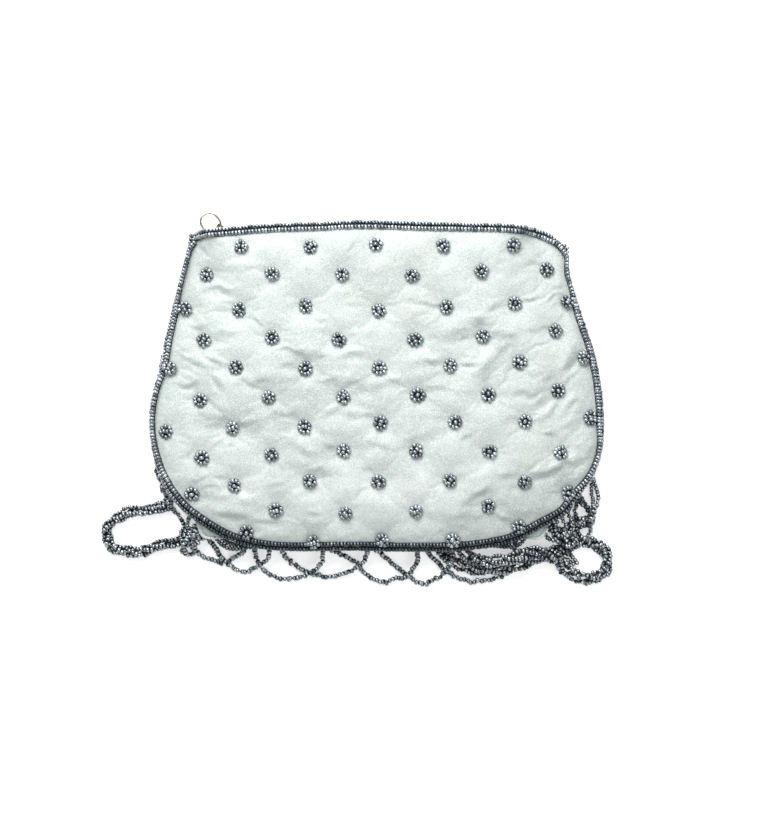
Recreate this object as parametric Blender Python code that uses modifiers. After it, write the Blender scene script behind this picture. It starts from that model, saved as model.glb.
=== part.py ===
"""Beaded evening bag, lying on its back with its front panel up.

World frame: metres, +Z up out of the front panel, +X to the bag's right as seen
from the front, +Y from the rounded foot to the zipped top edge. The origin is the
middle of the flat that the back panel rests on.

Order of the source: driving sizes, finishes, curve and mesh helpers, the bag's
plan and heights, then one function for each sub-assembly.
"""

import math

import bmesh
import bpy
import numpy as np
from mathutils import Matrix

# Driving sizes, in metres

BAG_WIDTH = 0.2052
BAG_HEIGHT = 0.1492
RIM_HEIGHT = 0.0110
FRONT_RISE = 0.0095
MOUTH_GAPE = 0.0065
SEAM_THICKNESS = 0.0013
SATIN_THICKNESS = 0.0005
INTERLINING_THICKNESS = 0.0010
LINING_THICKNESS = 0.0004
LAYER_GAP = 0.0004
CLEARANCE = 0.0003

SEED_BEAD_DIAMETER = 0.0021
BORDER_ROW_PITCH = 0.0022
SATIN_INSET = 0.0024
SEAM_ROW_OFFSET = 0.00135
BORDER_SPREAD_SHARE = 1.06

FLOWER_DIAMETER = 0.0062
FLOWER_CROWN_DIAMETER = 0.0042
FLOWER_HEIGHT = 0.0016
FLOWER_SEAT = 0.0003
FLOWER_SIDES = 7

ZIP_DEPTH = 0.0080
ZIP_AXIS_Y = BAG_HEIGHT / 2 - ZIP_DEPTH
ZIP_LEFT_SHARE = -0.7135
ZIP_RIGHT_SHARE = 0.6189
ZIP_TAPE_LEFT = ZIP_LEFT_SHARE * BAG_WIDTH / 2
ZIP_TAPE_RIGHT = ZIP_RIGHT_SHARE * BAG_WIDTH / 2
ZIP_TAPE_THICKNESS = 0.0005
ZIP_TAPE_END = 0.0035
ZIP_CHAIN_RIGHT = ZIP_TAPE_RIGHT - ZIP_TAPE_END
TOOTH_PITCH = 0.0030
TOOTH_WIDTH = 0.00115
TOOTH_TIP_WIDTH = 0.00095
TOOTH_REACH = 0.0009
TOOTH_THICKNESS = 0.0016
CORD_INNER_EDGE = 0.0012
CORD_OUTER_EDGE = 0.0020
STOP_LENGTH = 0.0016
STOP_THICKNESS = 0.0022
STOP_INNER_EDGE = 0.0009

SLIDER_LENGTH = 0.0090
SLIDER_SETBACK = 0.0022
SLIDER_X = ZIP_TAPE_LEFT + SLIDER_SETBACK + SLIDER_LENGTH / 2
SLIDER_WIDTH = 0.0072
SLIDER_PLATE = 0.0009
SLIDER_POST_LENGTH = 0.0020
SLIDER_POST_WIDTH = 0.0014
SLIDER_POST_TIP_WIDTH = 0.0007
SLIDER_POST_INSET = 0.0008
BRIDGE_RADIUS = 0.0016
BRIDGE_WIRE_RADIUS = 0.00045
BRIDGE_LIFT = 0.0015
BRIDGE_SHIFT = -0.0010
BRIDGE_ROOT = 0.0004

LINK_LEAN = math.radians(62.0)
LINK_FOOT_SPREAD = math.radians(70.0)
LINK_FOOT_RADIUS = 0.0009
LINK_BAR_RADIUS = 0.0005
LINK_THICKNESS = 0.0030
LINK_SLOT_WIDTH = 0.0015
LINK_SLOT_TOP = 0.0025
LINK_HEIGHT = 0.0049
LINK_TOP_WIDTH = 0.0028
RING_EYE_HEIGHT = 0.00365
RING_EYE_RADIUS = 0.00085
RING_WIRE_RADIUS = 0.00055
RING_LENGTH = 0.0092
RING_HALF_WIDTH = 0.0039

STRAP_DIAMETER = 0.0056
BINDING_DIAMETER = 0.0044
FRINGE_DIAMETER = 0.0023
CORD_LIE_GAP = 0.0001

CUT_OVERRUN = 0.0010
WELD_DISTANCE = 0.000001
CURVE_STEPS_PER_SPAN = 24

# How finely the forms are divided

OUTLINE_STATIONS = 56
TAPE_STATIONS = 20
STRAP_STATIONS = 80
RING_STATIONS = 26
BINDING_STATIONS = 5
BORDER_ARC_STEPS = 5
BRIDGE_ARC_STEPS = 6
LINK_FOOT_STEPS = 4
EYE_SIDES = 12
WIRE_RESOLUTION = 2
STRAP_RESOLUTION = 3
FRINGE_EXTRA_STATIONS = 4

# The bag's outer edge, as shares of its half width and half height, from the
# sharp top left corner along the zipped edge and round the foot

OUTLINE_SHARES = (
    (-0.818, 0.902), (-0.800, 0.925), (-0.634, 0.961), (-0.463, 0.979),
    (-0.248, 0.990), (-0.077, 1.000), (0.140, 0.992), (0.420, 0.984),
    (0.620, 0.974), (0.705, 0.955), (0.768, 0.917), (0.816, 0.862),
    (0.843, 0.790), (0.849, 0.680), (0.871, 0.576), (0.922, 0.360),
    (0.961, 0.196), (0.989, 0.000), (1.000, -0.190), (0.990, -0.400),
    (0.955, -0.540), (0.879, -0.685), (0.838, -0.762), (0.748, -0.838),
    (0.600, -0.940), (0.428, -0.986), (0.173, -0.998), (-0.160, -0.992),
    (-0.330, -0.996), (-0.493, -0.984), (-0.625, -0.944), (-0.760, -0.845),
    (-0.862, -0.737), (-0.923, -0.631), (-0.960, -0.520), (-0.985, -0.389),
    (-1.000, -0.232), (-0.985, -0.040), (-0.952, 0.115), (-0.923, 0.329),
    (-0.890, 0.520), (-0.860, 0.680), (-0.835, 0.800), (-0.818, 0.902),
)

# Rings of the panels, as shares of the way from the middle to the edge

RING_SHARES = (1.0, 0.86, 0.72, 0.58, 0.44, 0.22)
FRONT_SPREAD_SHARE = 0.60
FRONT_FULLNESS = 0.50
BACK_SPREAD_SHARE = 0.55
GAPE_INNER_SHARE = 0.50
GAPE_SPREAD_SHARE = 0.40
INTERLINING_EDGE_SHARE = 0.885
INTERLINING_MOUTH_SHARE = 0.985
LINING_EDGE_SHARE = 0.865
LINING_MOUTH_SHARE = 0.980
MOUTH_LEFT_SHARE = -0.745
MOUTH_RIGHT_SHARE = 0.640
MOUTH_FADE_SHARE = 0.080
MOUTH_OPEN_SHARE = 0.60

# Bead flowers: height of each row and the places along it, as shares of the
# bag's half height and half width

FLOWER_ROW_SHARES = (
    (0.836, (-0.590, -0.287, -0.002, 0.292, 0.599)),
    (0.673, (-0.743, -0.454, -0.149, 0.156, 0.458, 0.746)),
    (0.475, (-0.832, -0.601, -0.307, 0.011, 0.304, 0.603, 0.826)),
    (0.280, (-0.754, -0.456, -0.164, 0.168, 0.463, 0.783)),
    (0.118, (-0.896, -0.614, -0.309, 0.013, 0.321, 0.625, 0.900)),
    (-0.065, (-0.771, -0.470, -0.145, 0.180, 0.487, 0.794)),
    (-0.232, (-0.912, -0.629, -0.314, 0.018, 0.343, 0.648, 0.928)),
    (-0.392, (-0.763, -0.458, -0.143, 0.172, 0.493, 0.805)),
    (-0.575, (-0.800, -0.619, -0.290, 0.009, 0.319, 0.649, 0.834)),
    (-0.750, (-0.441, -0.136, 0.172, 0.489)),
    (-0.905, (-0.545, -0.279, 0.026, 0.336, 0.610)),
)

# The zip slider's plate, one side, as shares of its length and width
SLIDER_SHARES = ((-0.50, 0.40), (-0.42, 0.50), (0.05, 0.50), (0.40, 0.44), (0.50, 0.40))

# The pull ring, one side, as shares of its length and half width
RING_SHARES_OF_PULL = (
    (0.0, 0.0), (0.03, 0.42), (0.30, 0.86), (0.62, 1.0), (0.90, 0.62), (1.0, 0.0),
)

# Every cord's route is written as shares of the bag's half width, its half height
# and the height of its rim

# The strap's route over the table and under the rim, left end to right end

STRAP_ROUTE_SHARES = (
    (-0.804, 0.690, 0.30), (-0.941, 0.067, 0.27), (-0.953, -0.492, 0.27),
    (-0.945, -0.643, 0.27), (-1.004, -0.728, 0.27), (-1.116, -0.777, 0.27),
    (-1.189, -0.858, 0.27), (-1.179, -0.958, 0.27), (-1.101, -1.003, 0.27),
    (-0.912, -0.948, 0.27), (-0.702, -0.878, 0.27), (-0.517, -0.925, 0.27),
    (0.127, -0.938, 0.27), (0.253, -0.968, 0.27), (0.341, -1.062, 0.29),
    (0.434, -1.113, 0.28), (0.526, -1.110, 0.40), (0.595, -1.094, 0.55),
    (0.716, -1.039, 0.32), (0.840, -0.968, 0.27), (0.936, -0.941, 0.27),
    (1.014, -1.012, 0.27), (1.004, -1.129, 0.27), (0.936, -1.169, 0.29),
    (0.858, -1.133, 0.40), (0.770, -1.023, 0.84), (0.682, -1.005, 0.80),
    (0.586, -1.040, 0.96), (0.463, -1.056, 0.73), (0.402, -1.026, 0.60),
    (0.368, -0.968, 0.38), (0.366, -0.901, 0.29), (0.402, -0.847, 0.28),
    (0.463, -0.838, 0.27), (0.744, -0.802, 0.27), (0.867, -0.807, 0.27),
    (0.955, -0.711, 0.27), (0.967, -0.402, 0.27), (0.906, 0.295, 0.27),
    (0.819, 0.643, 0.30),
)

# The thread bindings that gather the strap's ends and sew them under the rim

LEFT_BINDING_SHARES = (
    (-0.802, 0.698, 0.30), (-0.795, 0.729, 0.32), (-0.786, 0.775, 0.41),
    (-0.776, 0.812, 0.46),
)
RIGHT_BINDING_SHARES = (
    (0.817, 0.651, 0.30), (0.809, 0.682, 0.32), (0.797, 0.731, 0.41),
    (0.787, 0.767, 0.46),
)

# The scallops of beads under the foot of the bag, left to right

FRINGE_ROUTE_SHARES = (
    ((-0.786, -0.818, 0.64), (-0.811, -0.885, 0.69), (-0.815, -0.938, 0.67),
     (-0.794, -0.989, 0.34), (-0.746, -1.038, 0.14), (-0.687, -1.067, 0.13),
     (-0.595, -1.119, 0.14), (-0.546, -1.105, 0.34), (-0.502, -1.071, 0.45),
     (-0.468, -1.027, 0.51), (-0.474, -0.971, 0.64)),
    ((-0.738, -0.874, 0.67), (-0.731, -0.932, 0.69), (-0.718, -0.976, 0.55),
     (-0.694, -1.011, 0.39), (-0.658, -1.032, 0.38), (-0.616, -1.019, 0.38),
     (-0.589, -0.954, 0.64)),
    ((-0.538, -0.973, 0.64), (-0.530, -1.047, 0.16), (-0.507, -1.111, 0.13),
     (-0.467, -1.149, 0.12), (-0.414, -1.168, 0.13), (-0.344, -1.155, 0.28),
     (-0.283, -1.122, 0.40), (-0.244, -1.070, 0.46), (-0.236, -0.989, 0.64)),
    ((-0.423, -0.979, 0.64), (-0.384, -1.059, 0.24), (-0.344, -1.101, 0.13),
     (-0.291, -1.137, 0.13), (-0.221, -1.155, 0.13), (-0.156, -1.143, 0.22),
     (-0.095, -1.101, 0.40), (-0.051, -1.059, 0.46), (-0.043, -0.989, 0.64)),
    ((-0.200, -0.987, 0.64), (-0.151, -1.023, 0.42), (-0.107, -1.052, 0.14),
     (-0.081, -1.089, 0.13), (-0.046, -1.137, 0.13), (-0.007, -1.180, 0.13),
     (0.037, -1.192, 0.13), (0.081, -1.168, 0.26), (0.134, -1.155, 0.38),
     (0.156, -1.113, 0.40), (0.179, -1.059, 0.46), (0.179, -0.992, 0.64)),
    ((-0.008, -0.989, 0.64), (0.033, -1.026, 0.36), (0.059, -1.064, 0.14),
     (0.103, -1.113, 0.13), (0.142, -1.155, 0.13), (0.182, -1.192, 0.13),
     (0.217, -1.197, 0.14), (0.256, -1.173, 0.27), (0.291, -1.143, 0.42),
     (0.317, -1.089, 0.67), (0.336, -1.032, 0.77), (0.336, -0.992, 0.66)),
    ((0.219, -0.992, 0.64), (0.252, -1.047, 0.20), (0.283, -1.089, 0.13),
     (0.312, -1.126, 0.13), (0.358, -1.163, 0.13), (0.414, -1.185, 0.13),
     (0.498, -1.174, 0.12), (0.570, -1.139, 0.12), (0.606, -1.086, 0.12),
     (0.616, -1.032, 0.13), (0.614, -0.979, 0.31), (0.612, -0.930, 0.62)),
)

# Finishes: colour, roughness, metallic value

FINISHES = {
    "pale_satin": ((0.70, 0.78, 0.75, 1.0), 0.42, 0.0),
    "grey_beads": ((0.16, 0.18, 0.22, 1.0), 0.22, 0.75),
    "interlining": ((0.88, 0.87, 0.83, 1.0), 0.90, 0.0),
    "lining": ((0.62, 0.68, 0.68, 1.0), 0.60, 0.0),
    "zip_tape": ((0.42, 0.46, 0.47, 1.0), 0.85, 0.0),
    "zip_metal": ((0.62, 0.58, 0.48, 1.0), 0.28, 1.0),
    "pull_wire": ((0.72, 0.68, 0.58, 1.0), 0.22, 1.0),
    "link_metal": ((0.20, 0.21, 0.15, 1.0), 0.35, 0.9),
    "dark_thread": ((0.05, 0.06, 0.08, 1.0), 0.80, 0.0),
}


def clear_scene():
    """Remove every object of the open scene."""
    for old in list(bpy.data.objects):
        bpy.data.objects.remove(old, do_unlink=True)


def new_collection(name, hidden=False):
    """A collection under the scene, for the parts or for the cutters."""
    made = bpy.data.collections.new(name)
    bpy.context.scene.collection.children.link(made)
    made.hide_render = hidden
    return made


def finish(name):
    """The Principled material of one finish, made once."""
    found = bpy.data.materials.get(name)
    if found:
        return found
    colour, roughness, metallic = FINISHES[name]
    made = bpy.data.materials.new(name)
    made.use_nodes = True
    shader = made.node_tree.nodes["Principled BSDF"]
    shader.inputs["Base Color"].default_value = colour
    shader.inputs["Roughness"].default_value = roughness
    shader.inputs["Metallic"].default_value = metallic
    return made


def add_object(name, data, finish_name, collection, location=(0, 0, 0), rotation=(0, 0, 0)):
    """Link mesh or curve data into a collection, with a material of the object's own."""
    made = bpy.data.objects.new(name, data)
    made.location = location
    made.rotation_euler = rotation
    own = finish(finish_name).copy()
    own.name = f"{name}_{finish_name}"
    data.materials.append(own)
    collection.objects.link(made)
    return made


def add_cutter(name, data, collection, location=(0, 0, 0), rotation=(0, 0, 0)):
    """Link a guide or cutting solid, drawn as wire and left out of the render."""
    made = bpy.data.objects.new(name, data)
    made.location = location
    made.rotation_euler = rotation
    made.hide_render = True
    made.display_type = "WIRE"
    collection.objects.link(made)
    return made


def add_boolean(target, operand, operation):
    """Cut or join with the exact solver."""
    modifier = target.modifiers.new(f"{operation.lower()}_{operand.name}", "BOOLEAN")
    modifier.operation = operation
    modifier.object = operand
    modifier.solver = "EXACT"


def add_wall(target, thickness):
    """Give an open surface its thickness, on the side away from its normals."""
    modifier = target.modifiers.new("wall", "SOLIDIFY")
    modifier.thickness = thickness
    modifier.offset = -1.0


def smooth_between(low, high, value):
    """0 below low, 1 above high, and a smooth step between."""
    t = np.clip((np.asarray(value, float) - low) / (high - low), 0.0, 1.0)
    return t * t * (3.0 - 2.0 * t)


def smooth_through(route, count, closed=False):
    """Evenly spaced points on one smooth curve through a route's points.

    Each span is a cubic Hermite curve over the chord length, and its slopes are the
    weighted mean of the chords on both sides.
    """
    points = np.asarray(route, float)
    if closed:
        points = np.vstack([points, points[:1]])
    chord = np.linalg.norm(np.diff(points, axis=0), axis=1)
    knots = np.concatenate([[0.0], np.cumsum(chord)])
    if closed:
        before, after = points[-3:-1], points[1:3]
        reach = np.concatenate(
            [knots[-3:-1] - knots[-1], knots, knots[-1] + knots[1:3]]
        )
        slopes = np.gradient(np.vstack([before, points, after]), reach, axis=0)[2:-2]
    else:
        slopes = np.gradient(points, knots, axis=0)
    fine = np.linspace(0.0, knots[-1], CURVE_STEPS_PER_SPAN * len(points))
    span = np.clip(np.searchsorted(knots, fine, side="right") - 1, 0, len(chord) - 1)
    width = chord[span][:, None]
    t = (fine - knots[span])[:, None] / width
    curve = (
        (2 * t**3 - 3 * t**2 + 1) * points[span]
        + (t**3 - 2 * t**2 + t) * width * slopes[span]
        + (3 * t**2 - 2 * t**3) * points[span + 1]
        + (t**3 - t**2) * width * slopes[span + 1]
    )
    run = np.concatenate([[0.0], np.cumsum(np.linalg.norm(np.diff(curve, axis=0), axis=1))])
    wanted = np.linspace(0.0, run[-1], count + 1 if closed else count)
    even = np.stack([np.interp(wanted, run, axis) for axis in curve.T], axis=1)
    return even[:-1] if closed else even


def mesh_from(name, build):
    """A mesh made by a function that fills a bmesh."""
    bm = bmesh.new()
    build(bm)
    bmesh.ops.recalc_face_normals(bm, faces=bm.faces[:])
    mesh = bpy.data.meshes.new(name)
    bm.to_mesh(mesh)
    bm.free()
    return mesh


def bridge_rings(bm, first, second, closed=True):
    """Quads between two rows of vertices of the same count."""
    last = len(first) if closed else len(first) - 1
    for i in range(last):
        j = (i + 1) % len(first)
        bm.faces.new((first[i], first[j], second[j], second[i]))


def bridge_skins(bm, outer, inner):
    """Triangles between two rings, cut the same way in every layer of a panel."""
    for i in range(len(outer)):
        j = (i + 1) % len(outer)
        bm.faces.new((outer[i], outer[j], inner[j]))
        bm.faces.new((outer[i], inner[j], inner[i]))


def box_mesh(name, size):
    """A box about its own middle."""
    def build(bm):
        bmesh.ops.create_cube(bm, size=1.0, matrix=Matrix.Diagonal((*size, 1.0)))
    return mesh_from(name, build)


def cylinder_mesh(name, radius, length, sides):
    """A cylinder along its own Z axis."""
    def build(bm):
        bmesh.ops.create_cone(
            bm, cap_ends=True, segments=sides, radius1=radius, radius2=radius, depth=length
        )
    return mesh_from(name, build)


def curve_data(name, points, radius, resolution, closed=False):
    """A round wire or cord through the points, with filled ends."""
    data = bpy.data.curves.new(name, "CURVE")
    data.dimensions = "3D"
    data.bevel_depth = radius
    data.bevel_resolution = resolution
    data.use_fill_caps = not closed
    spline = data.splines.new("POLY")
    spline.points.add(len(points) - 1)
    spline.use_cyclic_u = closed
    for spot, point in zip(spline.points, points):
        spot.co = (*point, 1.0)
    return data


def solid_mesh_of(name, data):
    """The mesh of a curve, with its caps welded."""
    guide = bpy.data.objects.new(f"{name}_guide", data)
    bpy.context.scene.collection.objects.link(guide)
    bpy.context.view_layer.update()
    shape = guide.evaluated_get(bpy.context.evaluated_depsgraph_get())
    mesh = bpy.data.meshes.new_from_object(shape)
    bpy.data.objects.remove(guide, do_unlink=True)
    bm = bmesh.new()
    bm.from_mesh(mesh)
    bmesh.ops.remove_doubles(bm, verts=bm.verts[:], dist=WELD_DISTANCE)
    bmesh.ops.recalc_face_normals(bm, faces=bm.faces[:])
    bm.to_mesh(mesh)
    bm.free()
    mesh.name = name
    return mesh


def plate_mesh(name, outline, thickness):
    """A flat outline in its own XY plane, given a thickness about that plane."""
    data = bpy.data.curves.new(name, "CURVE")
    data.dimensions = "2D"
    data.fill_mode = "BOTH"
    data.extrude = thickness / 2
    spline = data.splines.new("POLY")
    spline.points.add(len(outline) - 1)
    spline.use_cyclic_u = True
    for spot, (x, y) in zip(spline.points, outline):
        spot.co = (x, y, 0.0, 1.0)
    return solid_mesh_of(name, data)


def mirrored(points):
    """An outline's other side, across its own X axis, added in reverse order."""
    return list(points) + [(x, -y) for x, y in reversed(points)]


# The bag's plan and heights


class Plan:
    """The outline of the bag, how far its mouth gapes, and how high each skin lies."""

    def __init__(self):
        half = np.array((BAG_WIDTH / 2, BAG_HEIGHT / 2))
        rim = smooth_through(np.array(OUTLINE_SHARES) * half, OUTLINE_STATIONS + 1)[:-1]
        self.rim = rim
        shares = rim / half
        along = smooth_between(
            MOUTH_LEFT_SHARE - MOUTH_FADE_SHARE, MOUTH_LEFT_SHARE, shares[:, 0]
        ) * (
            1.0 - smooth_between(
                MOUTH_RIGHT_SHARE, MOUTH_RIGHT_SHARE + MOUTH_FADE_SHARE, shares[:, 0]
            )
        )
        self.gape = np.where(shares[:, 1] > 0, along, 0.0)
        self.satin = self.inset(SATIN_INSET)
        rings = np.array(sorted(RING_SHARES))
        self.rings = rings
        self.front_form = (
            smooth_between(0.0, FRONT_SPREAD_SHARE, 1.0 - rings) ** FRONT_FULLNESS
        )
        self.back_form = smooth_between(0.0, BACK_SPREAD_SHARE, 1.0 - rings)
        self.gape_form = smooth_between(
            GAPE_INNER_SHARE, GAPE_INNER_SHARE + GAPE_SPREAD_SHARE, rings
        )

    def inset(self, amount):
        """The outer edge, drawn in by an amount."""
        return self.rim * (1.0 - 2.0 * amount / np.array((BAG_WIDTH, BAG_HEIGHT)))

    def height(self, front, share, gape):
        """Height of a skin's outer face at a share of the way to the satin's edge."""
        opening = MOUTH_GAPE * gape * np.interp(share, self.rings, self.gape_form)
        if front:
            rise = FRONT_RISE * np.interp(share, self.rings, self.front_form)
            return RIM_HEIGHT + SEAM_THICKNESS / 2 + opening + rise
        drop = RIM_HEIGHT - SEAM_THICKNESS / 2
        return drop - opening - drop * np.interp(share, self.rings, self.back_form)

    def skin_height(self, front, x, y):
        """Height of a skin's outer face over a point of the plan."""
        edge = self.satin
        nxt = np.roll(edge, -1, axis=0)
        cross = edge[:, 0] * nxt[:, 1] - edge[:, 1] * nxt[:, 0]
        toward = (x * nxt[:, 1] - y * nxt[:, 0]) / cross
        away = (edge[:, 0] * y - edge[:, 1] * x) / cross
        inside = (toward >= -1e-9) & (away >= -1e-9)
        i = int(np.flatnonzero(inside)[0])
        share = toward[i] + away[i]
        blend = away[i] / share
        gape = self.gape[i] * (1 - blend) + self.gape[(i + 1) % len(edge)] * blend
        return float(self.height(front, share, gape))

    def layer(self, front, depth, edge_share, mouth_share):
        """Rings of one skin, outside in, as arrays of points, and its middle point."""
        edge = edge_share + (mouth_share - edge_share) * self.gape
        rows = []
        for share in RING_SHARES:
            at = np.minimum(edge, share)
            z = self.height(front, at, self.gape) + (-depth if front else depth)
            rows.append(np.column_stack([self.satin * at[:, None], z]))
        middle = float(self.height(front, 0.0, 0.0)) + (-depth if front else depth)
        return rows, (0.0, 0.0, middle)


def skin_mesh(name, rows, middle, front):
    """An open skin through its rings, its normals turned out of the bag."""
    def build(bm):
        rings = [[bm.verts.new(point) for point in row] for row in rows]
        for outer, inner in zip(rings, rings[1:]):
            bridge_skins(bm, outer, inner)
        centre = bm.verts.new(middle)
        last = rings[-1]
        for i in range(len(last)):
            bm.faces.new((last[i], last[(i + 1) % len(last)], centre))
    mesh = mesh_from(name, build)
    facing = sum(face.normal.z * face.area for face in mesh.polygons)
    if (facing > 0) != front:
        mesh.flip_normals()
    return mesh


def panel(name, plan, front, depth, edges, thickness, finish_name, collection):
    """One fabric panel: a skin of rings with its thickness added inwards."""
    rows, middle = plan.layer(front, depth, *edges)
    made = add_object(name, skin_mesh(name, rows, middle, front), finish_name, collection)
    add_wall(made, thickness)
    return made


def make_panels(plan, parts, cutters):
    """Satin panels and the interlinings behind them, front and back."""
    satin_edges = (1.0, 1.0)
    stiff_edges = (INTERLINING_EDGE_SHARE, INTERLINING_MOUTH_SHARE)
    stiff_depth = SATIN_THICKNESS + LAYER_GAP
    front = panel(
        "front_panel", plan, True, 0.0, satin_edges, SATIN_THICKNESS, "pale_satin", parts
    )
    add_boolean(front, make_flower_heads(plan, cutters), "UNION")
    panel("back_panel", plan, False, 0.0, satin_edges, SATIN_THICKNESS, "pale_satin", parts)
    for name, side in (("front_interlining", True), ("back_interlining", False)):
        panel(
            name, plan, side, stiff_depth, stiff_edges, INTERLINING_THICKNESS,
            "interlining", parts,
        )


def make_lining(plan, parts):
    """The lining: one pocket, closed at the sides and foot, open at the mouth."""
    depth = SATIN_THICKNESS + INTERLINING_THICKNESS + 2 * LAYER_GAP
    edges = (LINING_EDGE_SHARE, LINING_MOUTH_SHARE)
    front_rows, front_middle = plan.layer(True, depth, *edges)
    back_rows, back_middle = plan.layer(False, depth, *edges)

    def build(bm):
        sides = []
        for rows, middle in ((front_rows, front_middle), (back_rows, back_middle)):
            rings = [[bm.verts.new(point) for point in row] for row in rows]
            for outer, inner in zip(rings, rings[1:]):
                bridge_skins(bm, outer, inner)
            centre = bm.verts.new(middle)
            last = rings[-1]
            for i in range(len(last)):
                bm.faces.new((last[i], last[(i + 1) % len(last)], centre))
            sides.append(rings[0])
        upper, lower = sides
        for i in range(len(upper)):
            j = (i + 1) % len(upper)
            if max(plan.gape[i], plan.gape[j]) < MOUTH_OPEN_SHARE:
                bm.faces.new((upper[i], upper[j], lower[j], lower[i]))

    mesh = mesh_from("lining_pocket", build)
    crown = max(mesh.polygons, key=lambda face: face.center.z)
    if crown.normal.z < 0:
        mesh.flip_normals()
    made = add_object("lining_pocket", mesh, "lining", parts)
    add_wall(made, LINING_THICKNESS)


def make_flower_heads(plan, cutters):
    """Every bead flower as a low many-sided button, sunk a little into the satin."""
    def build(bm):
        for row_share, column_shares in FLOWER_ROW_SHARES:
            for column_share in column_shares:
                x = column_share * BAG_WIDTH / 2
                y = row_share * BAG_HEIGHT / 2
                x, y = plan_clamp(plan, x, y)
                low = plan.skin_height(True, x, y)
                step_x = math.copysign(FLOWER_DIAMETER / 2, -x)
                step_y = math.copysign(FLOWER_DIAMETER / 2, -y)
                rise_x = (plan.skin_height(True, x + step_x, y) - low) / step_x
                rise_y = (plan.skin_height(True, x, y + step_y) - low) / step_y
                turn = Matrix.Rotation(-math.atan(rise_x), 4, "Y") @ Matrix.Rotation(
                    math.atan(rise_y), 4, "X"
                )
                lift = Matrix.Translation((0, 0, FLOWER_HEIGHT / 2 - FLOWER_SEAT))
                bmesh.ops.create_cone(
                    bm, cap_ends=True, segments=FLOWER_SIDES,
                    radius1=FLOWER_DIAMETER / 2, radius2=FLOWER_CROWN_DIAMETER / 2,
                    depth=FLOWER_HEIGHT,
                    matrix=Matrix.Translation((x, y, low)) @ turn @ lift,
                )
    return add_cutter("flower_heads", mesh_from("flower_heads", build), cutters)


def plan_clamp(plan, x, y):
    """Draw a flower's middle in from the satin's edge, so that it sits on the satin."""
    edge = plan.satin
    nxt = np.roll(edge, -1, axis=0)
    cross = edge[:, 0] * nxt[:, 1] - edge[:, 1] * nxt[:, 0]
    toward = (x * nxt[:, 1] - y * nxt[:, 0]) / cross
    away = (edge[:, 0] * y - edge[:, 1] * x) / cross
    i = int(np.flatnonzero((toward >= -1e-9) & (away >= -1e-9))[0])
    limit = 1.0 - (FLOWER_DIAMETER / 2 + CLEARANCE + BORDER_ROW_PITCH) / math.hypot(x, y)
    share = toward[i] + away[i]
    scale = min(1.0, limit / share)
    return x * scale, y * scale


# Bead borders


def border_section(outer, inner, radius):
    """The closed section of two bead rows side by side, as points in (inset, height)."""
    outer, inner = np.array(outer), np.array(inner)
    run = inner - outer
    heading = math.atan2(run[1], run[0])
    half_open = math.acos(min(1.0, np.hypot(*run) / 2 / radius))
    sweep = np.linspace(half_open, 2 * math.pi - half_open, BORDER_ARC_STEPS + 2)
    first = heading + sweep
    second = heading - math.pi + sweep
    arcs = []
    for centre, angles in ((outer, first), (inner, second)):
        arcs.append(centre + radius * np.column_stack([np.cos(angles), np.sin(angles)]))
    return np.vstack([arcs[0][:-1], arcs[1][:-1]])


def make_border(name, plan, front, parts):
    """Two rows of seed beads round one panel's edge, as one ribbed band."""
    radius = SEED_BEAD_DIAMETER / 2
    side = 1.0 if front else -1.0
    seam_row = radius
    face_row = seam_row + BORDER_ROW_PITCH
    stations = []
    for i in range(OUTLINE_STATIONS):
        gape = plan.gape[i]
        seam_z = RIM_HEIGHT + side * (SEAM_ROW_OFFSET + MOUTH_GAPE * gape)
        inward = 1.0 - (face_row - SATIN_INSET) / (BAG_HEIGHT / 2)
        face_z = float(plan.height(front, inward, gape)) + side * (CLEARANCE + radius)
        section = border_section((seam_row, seam_z), (face_row, face_z), radius * BORDER_SPREAD_SHARE)
        half = np.array((BAG_WIDTH / 2, BAG_HEIGHT / 2))
        ring = [(*(plan.rim[i] * (1.0 - inset / half)), z) for inset, z in section]
        stations.append(ring)

    def build(bm):
        rings = [[bm.verts.new(point) for point in ring] for ring in stations]
        for i, ring in enumerate(rings):
            bridge_rings(bm, ring, rings[(i + 1) % len(rings)])

    add_object(name, mesh_from(name, build), "grey_beads", parts)


# Zip


def comb_outline(left, right, shift):
    """The teeth of one side of the zip and the cord that carries them."""
    outline = [(left, CORD_OUTER_EDGE), (right, CORD_OUTER_EDGE), (right, CORD_INNER_EDGE)]
    first = SLIDER_X - SLIDER_LENGTH / 2 + SLIDER_POST_INSET + SLIDER_POST_LENGTH
    start = first + CLEARANCE + TOOTH_WIDTH / 2 + shift
    count = int((right - TOOTH_WIDTH / 2 - start) / TOOTH_PITCH)
    for i in range(count, -1, -1):
        x = start + i * TOOTH_PITCH
        outline += [
            (x + TOOTH_WIDTH / 2, CORD_INNER_EDGE),
            (x + TOOTH_TIP_WIDTH / 2, -TOOTH_REACH),
            (x - TOOTH_TIP_WIDTH / 2, -TOOTH_REACH),
            (x - TOOTH_WIDTH / 2, CORD_INNER_EDGE),
        ]
    outline.append((left, CORD_INNER_EDGE))
    return outline


def make_teeth(parts):
    """Both rows of zip teeth, meshed, each on its own cord."""
    left = SLIDER_X - SLIDER_LENGTH / 2
    place = (0, ZIP_AXIS_Y, RIM_HEIGHT)
    for name, side, shift in (
        ("zip_teeth_front", 1, 0.0),
        ("zip_teeth_back", -1, TOOTH_PITCH / 2),
    ):
        outline = [(x, side * z) for x, z in comb_outline(left, ZIP_CHAIN_RIGHT, shift)]
        mesh = plate_mesh(name, outline, TOOTH_THICKNESS)
        add_object(name, mesh, "zip_metal", parts, place, (math.radians(90.0), 0, 0))


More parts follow.
